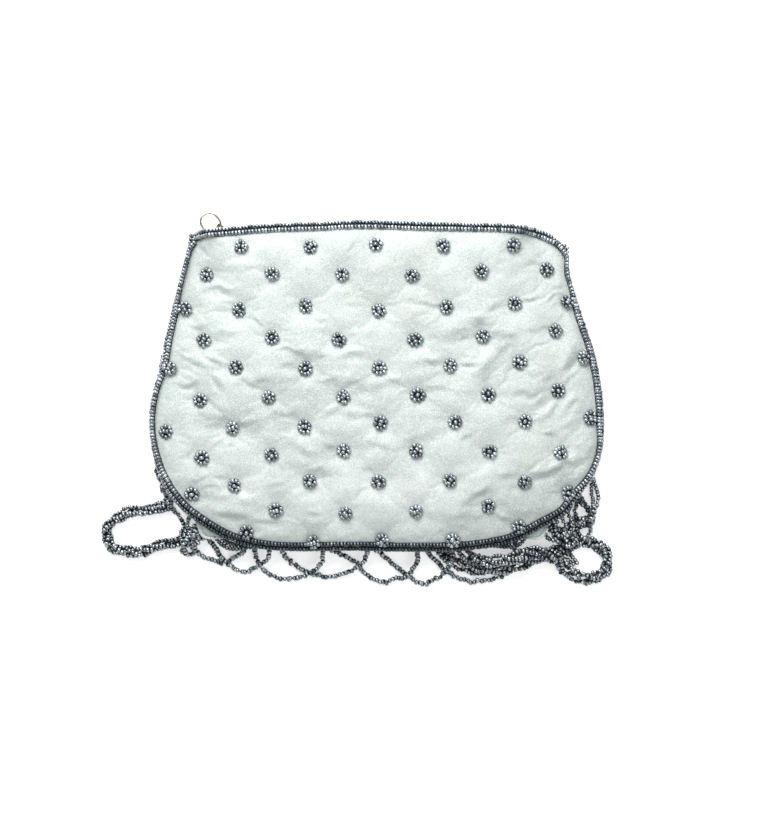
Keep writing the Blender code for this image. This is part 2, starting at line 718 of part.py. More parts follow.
def make_tapes(plan, parts):
    """The two woven tapes, from the teeth to the lining at each side of the mouth."""
    lining_depth = SATIN_THICKNESS + INTERLINING_THICKNESS + LINING_THICKNESS + 2 * LAYER_GAP
    seat = lining_depth + LAYER_GAP
    xs = np.linspace(ZIP_TAPE_LEFT, ZIP_TAPE_RIGHT, TAPE_STATIONS)
    for name, front in (("zip_tape_front", True), ("zip_tape_back", False)):
        side = 1.0 if front else -1.0
        inner = RIM_HEIGHT + side * (CORD_OUTER_EDGE + CLEARANCE)

        def build(bm, front=front, side=side, inner=inner):
            rings = []
            for x in xs:
                outer = plan.skin_height(front, x, ZIP_AXIS_Y) - side * seat
                low = ZIP_AXIS_Y - ZIP_TAPE_THICKNESS / 2
                high = ZIP_AXIS_Y + ZIP_TAPE_THICKNESS / 2
                section = ((low, inner), (high, inner), (high, outer), (low, outer))
                rings.append([bm.verts.new((x, y, z)) for y, z in section])
            for first, second in zip(rings, rings[1:]):
                bridge_rings(bm, first, second)
            bm.faces.new(rings[0])
            bm.faces.new(rings[-1])

        add_object(name, mesh_from(name, build), "zip_tape", parts)


def make_stops(parts):
    """Top stops on each cord at the closed end, and one bottom stop across both."""
    x = SLIDER_X - SLIDER_LENGTH / 2 - CLEARANCE - STOP_LENGTH / 2
    width = CORD_OUTER_EDGE - STOP_INNER_EDGE
    for name, side in (("zip_top_stop_front", 1), ("zip_top_stop_back", -1)):
        z = RIM_HEIGHT + side * (CORD_OUTER_EDGE + STOP_INNER_EDGE) / 2
        mesh = box_mesh(name, (STOP_LENGTH, STOP_THICKNESS, width))
        stop = add_object(name, mesh, "zip_metal", parts, (x, ZIP_AXIS_Y, z))
        round_edges(stop, CLEARANCE)
    end = ZIP_CHAIN_RIGHT + CLEARANCE + STOP_LENGTH / 2
    mesh = box_mesh("zip_bottom_stop", (STOP_LENGTH, STOP_THICKNESS, 2 * CORD_OUTER_EDGE))
    stop = add_object(
        "zip_bottom_stop", mesh, "zip_metal", parts, (end, ZIP_AXIS_Y, RIM_HEIGHT)
    )
    round_edges(stop, CLEARANCE)


def round_edges(target, width):
    """One small bevel on every edge."""
    modifier = target.modifiers.new("rounded", "BEVEL")
    modifier.width = width
    modifier.segments = 1
    modifier.limit_method = "ANGLE"


def slider_half_height():
    """Half the slider's height: half the teeth, the running gap and one plate."""
    return TOOTH_THICKNESS / 2 + CLEARANCE + SLIDER_PLATE


def make_slider(parts, cutters):
    """The zip slider: two plates on a post, side flanges, and a bridge for the pull."""
    place = (SLIDER_X, ZIP_AXIS_Y, RIM_HEIGHT)
    upright = (math.radians(90.0), 0, 0)
    outline = mirrored([(x * SLIDER_LENGTH, z * SLIDER_WIDTH) for x, z in SLIDER_SHARES])
    body = plate_mesh("zip_slider", outline, 2 * slider_half_height())
    slider = add_object("zip_slider", body, "zip_metal", parts, place, upright)

    through = SLIDER_LENGTH + 2 * CUT_OVERRUN
    channel = box_mesh(
        "slider_channel",
        (through, 2 * (CORD_OUTER_EDGE + CLEARANCE), TOOTH_THICKNESS + 2 * CLEARANCE),
    )
    slot = box_mesh(
        "slider_tape_slot",
        (through, SLIDER_WIDTH + 2 * CUT_OVERRUN, ZIP_TAPE_THICKNESS + 2 * CLEARANCE),
    )
    for mesh in (channel, slot):
        add_boolean(slider, add_cutter(mesh.name, mesh, cutters, place, upright), "DIFFERENCE")

    post_x = -SLIDER_LENGTH / 2 + SLIDER_POST_INSET
    post_outline = mirrored([
        (post_x, SLIDER_POST_TIP_WIDTH / 2),
        (post_x + SLIDER_POST_LENGTH / 2, SLIDER_POST_WIDTH / 2),
        (post_x + SLIDER_POST_LENGTH, SLIDER_POST_TIP_WIDTH / 2),
    ])
    post = plate_mesh("slider_post", post_outline, 2 * slider_half_height() - SLIDER_PLATE)
    add_boolean(slider, add_cutter("slider_post", post, cutters, place, upright), "UNION")

    plate_top = slider_half_height()
    centre = plate_top + BRIDGE_LIFT
    arch = [(BRIDGE_SHIFT + BRIDGE_RADIUS, plate_top - BRIDGE_ROOT)]
    for step in range(BRIDGE_ARC_STEPS + 1):
        angle = math.pi * step / BRIDGE_ARC_STEPS
        arch.append((
            BRIDGE_SHIFT + BRIDGE_RADIUS * math.cos(angle),
            centre + BRIDGE_RADIUS * math.sin(angle),
        ))
    arch.append((BRIDGE_SHIFT - BRIDGE_RADIUS, plate_top - BRIDGE_ROOT))
    wire = curve_data(
        "slider_bridge", [(x, y, 0.0) for x, y in arch], BRIDGE_WIRE_RADIUS, WIRE_RESOLUTION
    )
    bridge = solid_mesh_of("slider_bridge", wire)
    add_boolean(slider, add_cutter("slider_bridge", bridge, cutters, place), "UNION")


def pull_axis():
    """Where the pull link turns on the slider's bridge."""
    y = ZIP_AXIS_Y + slider_half_height() + BRIDGE_LIFT
    return SLIDER_X + BRIDGE_SHIFT, y, RIM_HEIGHT


def make_pull(parts, cutters):
    """The dark link on the slider's bridge and the wire ring that it carries."""
    place = pull_axis()
    lean = (0, 0, LINK_LEAN)
    foot = [
        (LINK_FOOT_RADIUS * math.sin(angle), -LINK_FOOT_RADIUS * math.cos(angle))
        for angle in np.linspace(0.0, LINK_FOOT_SPREAD, LINK_FOOT_STEPS)
    ]
    side = foot + [
        (LINK_TOP_WIDTH / 2, LINK_HEIGHT - LINK_FOOT_RADIUS),
        (LINK_TOP_WIDTH / 2 - CLEARANCE, LINK_HEIGHT),
    ]
    outline = side + [(-x, y) for x, y in reversed(side[1:])]
    link = add_object(
        "zip_pull_link", plate_mesh("zip_pull_link", outline, LINK_THICKNESS),
        "link_metal", parts, place, lean,
    )
    turn = Matrix.Rotation(LINK_LEAN, 4, "Z")
    slot_low = LINK_BAR_RADIUS
    slot = box_mesh(
        "link_slot",
        (LINK_TOP_WIDTH + 2 * CUT_OVERRUN, LINK_SLOT_TOP - slot_low, LINK_SLOT_WIDTH),
    )
    slot_at = Matrix.Translation(place) @ turn @ Matrix.Translation(
        (0, (LINK_SLOT_TOP + slot_low) / 2, 0)
    )
    add_boolean(
        link, add_cutter("link_slot", slot, cutters, slot_at.to_translation(), lean),
        "DIFFERENCE",
    )
    eye = cylinder_mesh("link_eye", RING_EYE_RADIUS, LINK_TOP_WIDTH + 2 * CUT_OVERRUN, EYE_SIDES)
    eye.transform(Matrix.Rotation(math.radians(90.0), 4, "Y"))
    eye_at = Matrix.Translation(place) @ turn @ Matrix.Translation((0, RING_EYE_HEIGHT, 0))
    add_boolean(
        link, add_cutter("link_eye", eye, cutters, eye_at.to_translation(), lean),
        "DIFFERENCE",
    )

    half = [(b * RING_HALF_WIDTH, a * RING_LENGTH) for a, b in RING_SHARES_OF_PULL]
    loop = half + [(-x, y) for x, y in reversed(half[1:-1])]
    points = smooth_through([(x, y, 0.0) for x, y in loop], RING_STATIONS, closed=True)
    add_object(
        "zip_pull_ring",
        curve_data("zip_pull_ring", points, RING_WIRE_RADIUS, WIRE_RESOLUTION, True),
        "pull_wire", parts, eye_at.to_translation(), lean,
    )


# Strap and fringe


def cord_points(route_shares, count, diameter):
    """Even points along a cord's route, none so low that the cord leaves the table."""
    route = np.array(route_shares) * (BAG_WIDTH / 2, BAG_HEIGHT / 2, RIM_HEIGHT)
    points = smooth_through(route, count)
    points[:, 2] = np.maximum(points[:, 2], diameter / 2 + CORD_LIE_GAP)
    return points


def make_cords(parts):
    """The strap, the bindings at its ends, and the scallops of the fringe."""
    points = cord_points(STRAP_ROUTE_SHARES, STRAP_STATIONS, STRAP_DIAMETER)
    add_object(
        "strap_rope",
        curve_data("strap_rope", points, STRAP_DIAMETER / 2, STRAP_RESOLUTION),
        "grey_beads", parts,
    )
    for name, route in (
        ("strap_binding_left", LEFT_BINDING_SHARES),
        ("strap_binding_right", RIGHT_BINDING_SHARES),
    ):
        points = cord_points(route, BINDING_STATIONS, BINDING_DIAMETER)
        add_object(
            name, curve_data(name, points, BINDING_DIAMETER / 2, WIRE_RESOLUTION),
            "dark_thread", parts,
        )
    for number, route in enumerate(FRINGE_ROUTE_SHARES, start=1):
        name = f"fringe_scallop_{number}"
        count = len(route) + FRINGE_EXTRA_STATIONS
        points = cord_points(route, count, FRINGE_DIAMETER)
        add_object(
            name, curve_data(name, points, FRINGE_DIAMETER / 2, WIRE_RESOLUTION),
            "grey_beads", parts,
        )


def main():
    """Model every piece of the bag."""
    clear_scene()
    parts = new_collection("beaded_evening_bag")
    cutters = new_collection("cutters", hidden=True)
    plan = Plan()
    make_panels(plan, parts, cutters)
    make_lining(plan, parts)
    make_border("front_border", plan, True, parts)
    make_border("back_border", plan, False, parts)
    make_teeth(parts)
    make_tapes(plan, parts)
    make_stops(parts)
    make_slider(parts, cutters)
    make_pull(parts, cutters)
    make_cords(parts)


main()
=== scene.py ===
"""Beaded evening bag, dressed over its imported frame.

The bag lies on its back: +X to its right, +Y to its zipped edge, +Z out of the front
panel, in metres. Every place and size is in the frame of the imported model. Order of the
file: names and tools, shader tools, finishes, forms, then one class for each
sub-assembly, the studio, and the main function.
"""

from __future__ import annotations

import logging
import math
from collections.abc import Callable, Mapping, Sequence
from dataclasses import dataclass, field
from enum import Enum

import bpy
import numpy as np
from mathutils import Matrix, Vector
from mathutils.bvhtree import BVHTree

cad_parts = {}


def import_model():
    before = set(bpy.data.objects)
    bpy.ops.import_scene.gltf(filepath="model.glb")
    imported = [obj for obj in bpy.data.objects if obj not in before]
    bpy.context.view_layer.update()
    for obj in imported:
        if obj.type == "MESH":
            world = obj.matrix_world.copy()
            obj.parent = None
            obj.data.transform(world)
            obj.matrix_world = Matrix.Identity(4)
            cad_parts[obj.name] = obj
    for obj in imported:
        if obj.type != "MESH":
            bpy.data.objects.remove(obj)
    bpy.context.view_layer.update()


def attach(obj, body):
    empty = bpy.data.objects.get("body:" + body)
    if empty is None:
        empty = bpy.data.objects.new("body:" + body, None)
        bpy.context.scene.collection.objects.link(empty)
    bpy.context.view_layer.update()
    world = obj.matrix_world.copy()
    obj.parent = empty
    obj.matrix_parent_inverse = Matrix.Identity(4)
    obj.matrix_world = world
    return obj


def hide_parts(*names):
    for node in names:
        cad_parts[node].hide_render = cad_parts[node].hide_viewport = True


LOG = logging.getLogger("evening_bag")
Array = np.ndarray
Colour = tuple[float, float, float]
Row = tuple[float, ...]
Rows = tuple[Row, ...]
Form = tuple[Array, Sequence[Sequence[int]]]
Material = bpy.types.Material
Object = bpy.types.Object


class Body(str, Enum):
    """The bodies of the frame that new pieces ride on."""

    BAG = "bag"
    RING = "pull_ring"


class Side(Enum):
    """The two faces of the bag: the sign is the way each face points along Z."""

    FRONT = 1
    BACK = -1

    @property
    def word(self) -> str:
        """The face's name, as the nodes spell it."""
        return self.name.lower()


# Number tools


def ease(low: float, high: float, value: Array | float) -> Array:
    """A smooth step: 0 below low, 1 above high, and 3t^2 - 2t^3 between."""
    t = np.clip((np.asarray(value, float) - low) / (high - low), 0.0, 1.0)
    return t * t * (3.0 - 2.0 * t)


def smooth_through(route: Sequence[Sequence[float]], count: int, closed: bool = False) -> Array:
    """Evenly spaced points on one smooth curve through a route's points.

    Each span is a cubic Hermite curve, whose slope at a point is the weighted mean of the
    chords on both sides.

    Args:
        route: The points to pass through.
        count: How many points to return.
        closed: Whether the last point joins the first.

    Returns:
        The points.
    """
    points = np.asarray(route, float)
    if closed:
        points = np.vstack([points, points[:1]])
    chord = np.linalg.norm(np.diff(points, axis=0), axis=1)
    knots = np.concatenate([[0.0], np.cumsum(chord)])
    if closed:
        reach = np.concatenate([knots[-3:-1] - knots[-1], knots, knots[-1] + knots[1:3]])
        padded = np.vstack([points[-3:-1], points, points[1:3]])
        slopes = np.gradient(padded, reach, axis=0)[2:-2]
    else:
        slopes = np.gradient(points, knots, axis=0)
    fine = np.linspace(0.0, knots[-1], 24 * len(points))
    span = np.clip(np.searchsorted(knots, fine, side="right") - 1, 0, len(chord) - 1)
    width = chord[span][:, None]
    t = (fine - knots[span])[:, None] / width
    curve = (
        (2 * t**3 - 3 * t**2 + 1) * points[span]
        + (t**3 - 2 * t**2 + t) * width * slopes[span]
        + (3 * t**2 - 2 * t**3) * points[span + 1]
        + (t**3 - t**2) * width * slopes[span + 1]
    )
    return walk(curve, count + 1)[:-1] if closed else walk(curve, count)


def lengths_along(points: Array) -> Array:
    """Distance walked from the first point to each point."""
    steps = np.linalg.norm(np.diff(points, axis=0), axis=1)
    return np.concatenate([[0.0], np.cumsum(steps)])


def walk(points: Array, count: int) -> Array:
    """The same polyline with its points at even distances along it."""
    run = lengths_along(points)
    wanted = np.linspace(0.0, run[-1], count)
    return np.stack([np.interp(wanted, run, axis) for axis in points.T], axis=1)


def unit(vectors: Array) -> Array:
    """Each row divided by its length."""
    return vectors / np.maximum(np.linalg.norm(vectors, axis=-1, keepdims=True), 1e-12)


def drift(x: Array, y: Array, cell_x: float, cell_y: float, seed: int) -> Array:
    """Smooth noise from -1 to 1: random heights on a lattice, blended by a smooth step.

    Args:
        x: Places along X.
        y: Places along Y.
        cell_x: Lattice pitch along X.
        cell_y: Lattice pitch along Y.
        seed: Seed of the heights.

    Returns:
        One value for each place.
    """
    heights = np.random.default_rng(seed).uniform(-1.0, 1.0, (64, 64))
    u = np.asarray(x, float) / cell_x
    v = np.asarray(y, float) / cell_y
    i, j = np.floor(u).astype(int), np.floor(v).astype(int)
    a = ease(0.0, 1.0, u - i)
    b = ease(0.0, 1.0, v - j)
    low = heights[i % 64, j % 64] * (1 - a) + heights[(i + 1) % 64, j % 64] * a
    high = heights[i % 64, (j + 1) % 64] * (1 - a) + heights[(i + 1) % 64, (j + 1) % 64] * a
    return low * (1 - b) + high * b


# Mesh tools


def grid_faces(rows: int, columns: int, wrap: bool = False, flip: bool = False) -> Array:
    """Quads over a grid of vertices numbered row by row.

    Args:
        rows: Rows of vertices.
        columns: Vertices in a row.
        wrap: Whether the last column joins the first.
        flip: Whether to turn each quad over.

    Returns:
        Four vertex numbers for each quad.
    """
    i = np.arange(rows - 1)[:, None]
    j = np.arange(columns if wrap else columns - 1)[None, :]
    k = (j + 1) % columns
    low, high = i * columns, (i + 1) * columns
    quads = np.stack([low + j, low + k, high + k, high + j], axis=-1).reshape(-1, 4)
    return quads[:, ::-1] if flip else quads


def grid_form(x: Array, y: Array, z: Array, flip: bool = False) -> Form:
    """Vertices and quads of a surface whose places are given as grids."""
    return np.stack([x, y, z], axis=-1).reshape(-1, 3), grid_faces(*z.shape, flip=flip)


def make_piece(
    name: str, form: Form, material: Material, replaces: Sequence[str] = (),
    values: Mapping[str, Array] | None = None, body: Body = Body.BAG,
) -> Object:
    """Make an object of a form and let it ride on a body.

    Args:
        name: The piece's name.
        form: Vertices, and the vertex numbers of each face.
        material: The finish.
        replaces: CAD nodes that the piece stands for.
        values: Attributes by name, one number for each vertex.
        body: The body that carries the piece.

    Returns:
        The new object, at the origin.
    """
    verts, faces = form
    mesh = bpy.data.meshes.new(name)
    polygons = faces.tolist() if isinstance(faces, np.ndarray) else faces
    mesh.from_pydata(verts.tolist(), [], polygons)
    mesh.polygons.foreach_set("use_smooth", np.ones(len(mesh.polygons), bool))
    for key, numbers in (values or {}).items():
        layer = mesh.attributes.new(key, "FLOAT", "POINT")
        layer.data.foreach_set("value", np.asarray(numbers, np.float32))
    mesh.materials.append(material)
    mesh.update()
    made = bpy.data.objects.new(name, mesh)
    bpy.context.scene.collection.objects.link(made)
    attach(made, body.value)
    if replaces:
        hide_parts(*replaces)
    LOG.info("%s: %d vertices, %d faces", name, len(mesh.vertices), len(mesh.polygons))
    return made


def frames_along(points: Array) -> tuple[Array, Array, Array]:
    """Unit vectors at each point of a path: tangent, side and rise.

    The tangent points from neighbour to neighbour, and the side is +Z crossed with it,
    so the frame doesn't twist about the path.
    """
    tangent = unit(np.gradient(points, axis=0))
    side = unit(np.cross((0.0, 0.0, 1.0), tangent) + 1e-9)
    return tangent, side, np.cross(tangent, side)


def tube(points: Array, radius: float | Array, sides: int, closed: bool = False) -> Form:
    """A round tube along a path: a circle of the radius about each point.

    Args:
        points: The path.
        radius: One radius or one for each point.
        sides: Vertices round the tube.
        closed: Whether the path is a loop; an open tube gets end caps.

    Returns:
        Vertices and faces.
    """
    if closed:
        wrapped = np.vstack([points[-1:], points, points[:1]])
        tangent, side, rise = (v[1:-1] for v in frames_along(wrapped))
    else:
        tangent, side, rise = frames_along(points)
    turn = np.linspace(0.0, 2 * math.pi, sides, endpoint=False)
    size = np.broadcast_to(np.asarray(radius, float), (len(points),))[:, None, None]
    ring = side[:, None] * np.cos(turn)[None, :, None] + rise[:, None] * np.sin(turn)[None, :, None]
    verts = (points[:, None] + size * ring).reshape(-1, 3)
    count = len(points)
    faces = grid_faces(count, sides, wrap=True).tolist()
    if closed:
        last = (count - 1) * sides
        faces += [[last + j, last + (j + 1) % sides, (j + 1) % sides, j] for j in range(sides)]
    else:
        faces.append(list(range(sides))[::-1])
        faces.append(list(range((count - 1) * sides, count * sides)))
    return verts, faces


def joined(forms: Sequence[Form]) -> Form:
    """Several forms as one list of vertices and faces."""
    verts: list[Array] = []
    faces: list[list[int]] = []
    start = 0
    for points, quads in forms:
        verts.append(points)
        faces += [[start + int(k) for k in quad] for quad in quads]
        start += len(points)
    return np.vstack(verts), faces


def thicken(piece: Object, wall: float, outward: float = -1.0) -> None:
    """Give an open surface its wall, inwards unless outward says otherwise."""
    modifier = piece.modifiers.new("wall", "SOLIDIFY")
    modifier.thickness = wall
    modifier.offset = outward


def dress(node: str, material: Material) -> None:
    """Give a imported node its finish."""
    for slot in bpy.data.objects[node].material_slots:
        slot.material = material


def tree_of(name: str) -> BVHTree:
    """A search tree over the faces of a piece or node."""
    found = bpy.data.objects[name]
    corners = [found.matrix_world @ vertex.co for vertex in found.data.vertices]
    return BVHTree.FromPolygons(corners, [tuple(face.vertices) for face in found.data.polygons])


def heights_below(tree: BVHTree, x: Array, y: Array, above: float) -> Array:
    """Heights at which rays from above meet a mesh, and NaN where they miss it.

    Args:
        tree: The mesh.
        x: Places along X.
        y: Places along Y.
        above: Height that the rays start from.

    Returns:
        Heights, in the shape of the places.
    """
    found = np.full(x.size, np.nan)
    for number, (px, py) in enumerate(zip(x.ravel().tolist(), y.ravel().tolist())):
        hit = tree.ray_cast(Vector((px, py, above)), Vector((0.0, 0.0, -1.0)))[0]
        if hit is not None:
            found[number] = hit.z
    return found.reshape(x.shape)


def places_of(mesh: bpy.types.Mesh) -> Array:
    """A mesh's vertices as rows of x, y and z."""
    flat = np.empty(len(mesh.vertices) * 3, np.float32)
    mesh.vertices.foreach_get("co", flat)
    return flat.reshape(-1, 3).astype(float)


def neighbour_mean(grid: Array) -> Array:
    """Mean of the four neighbours of each inner point of a grid."""
    return (grid[:-2, 1:-1] + grid[2:, 1:-1] + grid[1:-1, :-2] + grid[1:-1, 2:]) / 4


# Shader tools


class Wire:
    """One value in a shader graph. Plus and times add Math nodes."""

    def __init__(self, graph: Graph, socket: bpy.types.NodeSocket) -> None:
        """Keep the graph and the socket that the value comes out of."""
        self.graph = graph
        self.socket = socket

    def __add__(self, other: Wire | float) -> Wire:
        """Sum."""
        return self.graph.node("Math", {"operation": "ADD"}, {0: self, 1: other})

    def __mul__(self, other: Wire | float) -> Wire:
        """Product."""
        return self.graph.node("Math", {"operation": "MULTIPLY"}, {0: self, 1: other})

    def ramp(self, low: float, high: float, to_low: float = 0.0, to_high: float = 1.0) -> Wire:
        """A smooth step from to_low at low to to_high at high."""
        return self.graph.node(
            "MapRange", {"interpolation_type": "SMOOTHSTEP"},
            {"Value": self, "From Min": low, "From Max": high, "To Min": to_low, "To Max": to_high},
        )


Given = Wire | float | Sequence[float]


class Graph:
    """The node graph of one material, empty but for its shader and output."""

    def __init__(self, name: str) -> None:
        """Make a material with a bare Principled shader."""
        self.material = bpy.data.materials.new(name)
        self.material.use_nodes = True
        self.tree = self.material.node_tree
        self.tree.nodes.clear()
        self.shader = self.tree.nodes.new("ShaderNodeBsdfPrincipled")
        output = self.tree.nodes.new("ShaderNodeOutputMaterial")
        self.tree.links.new(self.shader.outputs[0], output.inputs["Surface"])

    def put(self, socket: bpy.types.NodeSocket, given: Given) -> None:
        """Link or set one input socket."""
        if isinstance(given, Wire):
            self.tree.links.new(given.socket, socket)
        elif isinstance(given, (int, float)):
            socket.default_value = given
        else:
            value = tuple(given)
            short = len(value) == 3 and len(socket.default_value) == 4
            socket.default_value = (*value, 1.0) if short else value

    def node(
        self, kind: str, settings: Mapping[str, object] | None = None,
        inputs: Mapping[str | int, Given] | None = None, output: str | int = 0,
    ) -> Wire:
        """Add any node.

        Args:
            kind: The node's type, without the words ShaderNode.
            settings: Its settings, set first.
            inputs: Values or links of its sockets, by name or number.
            output: Which output to return.

        Returns:
            The chosen output.
        """
        made = self.tree.nodes.new(f"ShaderNode{kind}")
        for key, value in (settings or {}).items():
            setattr(made, key, value)
        for key, given in (inputs or {}).items():
            self.put(made.inputs[key], given)
        return Wire(self, made.outputs[output])

    def spot(self, scale: Sequence[float] = (1, 1, 1), turn: float = 0.0) -> Wire:
        """Object coordinates, scaled along each axis and turned about Z, in radians."""
        place = self.node("TexCoord", output="Object")
        return self.node("Mapping", None, {"Vector": place, "Scale": scale, "Rotation": (0, 0, turn)})

    def noise(
        self, scale: float, detail: float = 2.0, rough: float = 0.5, along: Sequence[float] = (1, 1, 1)
    ) -> Wire:
        """Noise from 0 to 1 over the piece, slower along an axis whose scale is small."""
        inputs = {"Vector": self.spot(along), "Scale": scale, "Detail": detail, "Roughness": rough}
        return self.node("TexNoise", None, inputs, "Fac")

    def attribute(self, name: str) -> Wire:
        """A number kept on the piece's vertices."""
        return self.node("Attribute", {"attribute_name": name}, None, "Fac")

    def mix(self, share: Wire | float, first: Given, second: Given) -> Wire:
        """Blend two colours by a share."""
        made = self.tree.nodes.new("ShaderNodeMix")
        made.data_type = "RGBA"
        for key, given in ((0, share), (6, first), (7, second)):
            self.put(made.inputs[key], given)
        return Wire(self, made.outputs[2])

    def bump(self, height: Wire, distance: float, strength: float = 1.0) -> None:
        """Feed a height to the shader's normal through a Bump node."""
        normal = self.node("Bump", None, {"Height": height, "Distance": distance, "Strength": strength})
        self.put(self.shader.inputs["Normal"], normal)

    def set(self, **inputs: Given) -> Material:
        """Set the shader's sockets, where an underscore stands for a space; the material."""
        for key, given in inputs.items():
            self.put(self.shader.inputs[key.replace("_", " ")], given)
        return self.material


# Finishes


@dataclass(frozen=True)
class SatinFinish:
    """Pale satin: long smooth floats, a soft sheen, a slightly aged tone, and painted shade and highlight.
    """

    name: str = "ice_satin"
    colour: Colour = (0.64, 0.712, 0.686)
    shade: Colour = (0.56, 0.626, 0.6)
    grain_shade: Colour = (0.44, 0.505, 0.485)
    aged: Colour = (0.59, 0.61, 0.552)
    glint: Colour = (0.84, 0.9, 0.88)
    dull_shade: Colour = (0.4, 0.465, 0.44)
    dulling: float = 0.8
    roughness: float = 0.5
    sheen: float = 0.12
    float_bump: float = 0.00007

    def build(self) -> Material:
        """Nodes: woven floats in the bump; tone from noise, and painted shade and highlight from an
        attribute.
        """
        g = Graph(self.name)
        floats = g.noise(4200.0, along=(0.16, 1.0, 1.0))
        sparkle = g.noise(1250.0, 2.0, 0.7, (0.8, 1.0, 1.0))
        grain = g.noise(2300.0, 1.0, 0.6, (1.0, 0.8, 1.0))
        slow = g.noise(34.0, 3.0)
        age = g.noise(21.0, 2.0).ramp(0.6, 0.74)
        tone = g.mix(slow.ramp(0.35, 0.7), self.colour, self.shade)
        tone = g.mix(age * 0.35, tone, self.aged)
        # Painted shade in creases, broad patches and the back's slipped edge; below nought, painted
        # highlight.
        dull = g.attribute("dull")
        tone = g.mix(dull.ramp(0.0, 1.0) * self.dulling, tone, self.dull_shade)
        tone = g.mix((dull * -1.0).ramp(0.0, 1.0) * self.dulling, tone, self.glint)
        # Fine sparkle and grain: specks of random tone, the pale ones painted glints of the weave.
        tone = g.mix(sparkle.ramp(0.28, 0.5, 0.55, 0.0), tone, self.shade)
        tone = g.mix(sparkle.ramp(0.5, 0.72) * 0.6, tone, self.glint)
        tone = g.mix(grain.ramp(0.3, 0.5, 0.7, 0.0), tone, self.grain_shade)
        tone = g.mix(grain.ramp(0.5, 0.7, 0.0, 0.6), tone, self.glint)
        g.bump(floats * 0.7 + sparkle * 0.5, self.float_bump)
        return g.set(
            Base_Color=tone, Roughness=floats * 0.12 + (self.roughness - 0.06), Sheen_Weight=self.sheen,
            Sheen_Roughness=0.45,
        )


@dataclass(frozen=True)
class BeadFinish:
    """Lustred grey glass: dark in the body, with a blue-grey metal film on the skin."""

    name: str = "lustred_beads"
    dark: Colour = (0.086, 0.126, 0.156)
    light: Colour = (0.7, 0.76, 0.81)
    deep: Colour = (0.003, 0.012, 0.017)
    dim_full: float = 0.85
    metal: float = 0.9
    roughness: float = 0.28

    def build(self) -> Material:
        """Nodes: each bead's own tone, worn spots, and painted shade where beads meet, in holes and along
        the foot.
        """
        g = Graph(self.name)
        tint = g.attribute("tint")
        # Painted shade from crowding: a darker tone, less metal and less coat.
        dim = g.attribute("dim").ramp(0.1, self.dim_full)
        worn = g.noise(1900.0, 2.0)
        tone = g.mix(tint, self.dark, self.light)
        tone = g.mix(worn.ramp(0.5, 0.72) * 0.35, tone, (0.84, 0.88, 0.91))
        tone = g.mix(dim, tone, self.deep)
        g.bump(worn, 0.00003, 0.6)
        return g.set(
            Base_Color=tone, Metallic=dim * -0.5 + self.metal,
            Roughness=worn * 0.16 + (self.roughness - 0.08), Coat_Weight=dim * -0.5 + 0.5,
            Coat_Roughness=0.1,
        )


@dataclass(frozen=True)
class ThreadFinish:
    """Twisted sewing thread: a matt colour with a fine ply."""

    name: str = "dark_thread"
    colour: Colour = (0.018, 0.022, 0.032)
    worn: Colour = (0.06, 0.068, 0.085)

    def build(self) -> Material:
        """Nodes: a slanted fine wave for the ply, and dusty spots."""
        g = Graph(self.name)
        ply = g.node(
            "TexWave", {"bands_direction": "DIAGONAL"},
            {"Vector": g.spot(), "Scale": 900.0, "Distortion": 1.5}, "Fac",
        )
        dust = g.noise(700.0, 3.0)
        tone = g.mix(dust.ramp(0.45, 0.75), self.colour, self.worn)
        g.bump(ply, 0.00005)
        return g.set(Base_Color=tone, Roughness=dust * 0.2 + 0.65, Sheen_Weight=0.15)


@dataclass(frozen=True)
class MetalFinish:
    """Plated metal with fine drawn lines and handling wear."""

    name: str
    colour: Colour
    worn: Colour
    roughness: float
    lines: tuple[float, float, float] = (1.0, 1.0, 1.0)

    def build(self) -> Material:
        """Nodes: stretched noise for drawn lines, slow noise for wear."""
        g = Graph(self.name)
        drawn = g.noise(2600.0, 3.0, along=self.lines)
        wear = g.noise(420.0, 3.0)
        tone = g.mix(wear.ramp(0.42, 0.68), self.colour, self.worn)
        g.bump(drawn, 0.00002, 0.5)
        return g.set(Base_Color=tone, Metallic=1.0, Roughness=wear.ramp(0.3, 0.8) * 0.16 + self.roughness)


@dataclass(frozen=True)
class ClothFinish:
    """Plain woven cloth, such as lining, zip tape and stiffening."""

    name: str
    colour: Colour
    shade: Colour
    ribs: float
    slant: float = 0.0
    roughness: float = 0.7
    sheen: float = 0.1

    def build(self) -> Material:
        """Nodes: crossed ribs for warp and weft, and a slow change of tone."""
        g = Graph(self.name)
        where = g.spot((1.0, 1.0, 1.0), self.slant)
        warp, weft = (
            g.node("TexWave", {"bands_direction": way}, {"Vector": where, "Scale": self.ribs}, "Fac")
            for way in "XZ"
        )
        slow = g.noise(60.0, 3.0)
        weave = warp * 0.6 + weft * 0.4
        tone = g.mix(slow.ramp(0.35, 0.7), self.colour, self.shade)
        tone = g.mix(weave * 0.2, tone, self.shade)
        g.bump(weave, 0.00006)
        return g.set(Base_Color=tone, Roughness=self.roughness, Sheen_Weight=self.sheen)


def built(finish: SatinFinish | BeadFinish | ThreadFinish | MetalFinish | ClothFinish) -> Material:
    """A field that holds the finish's material, made when the finishes are."""
    return field(default_factory=finish.build)


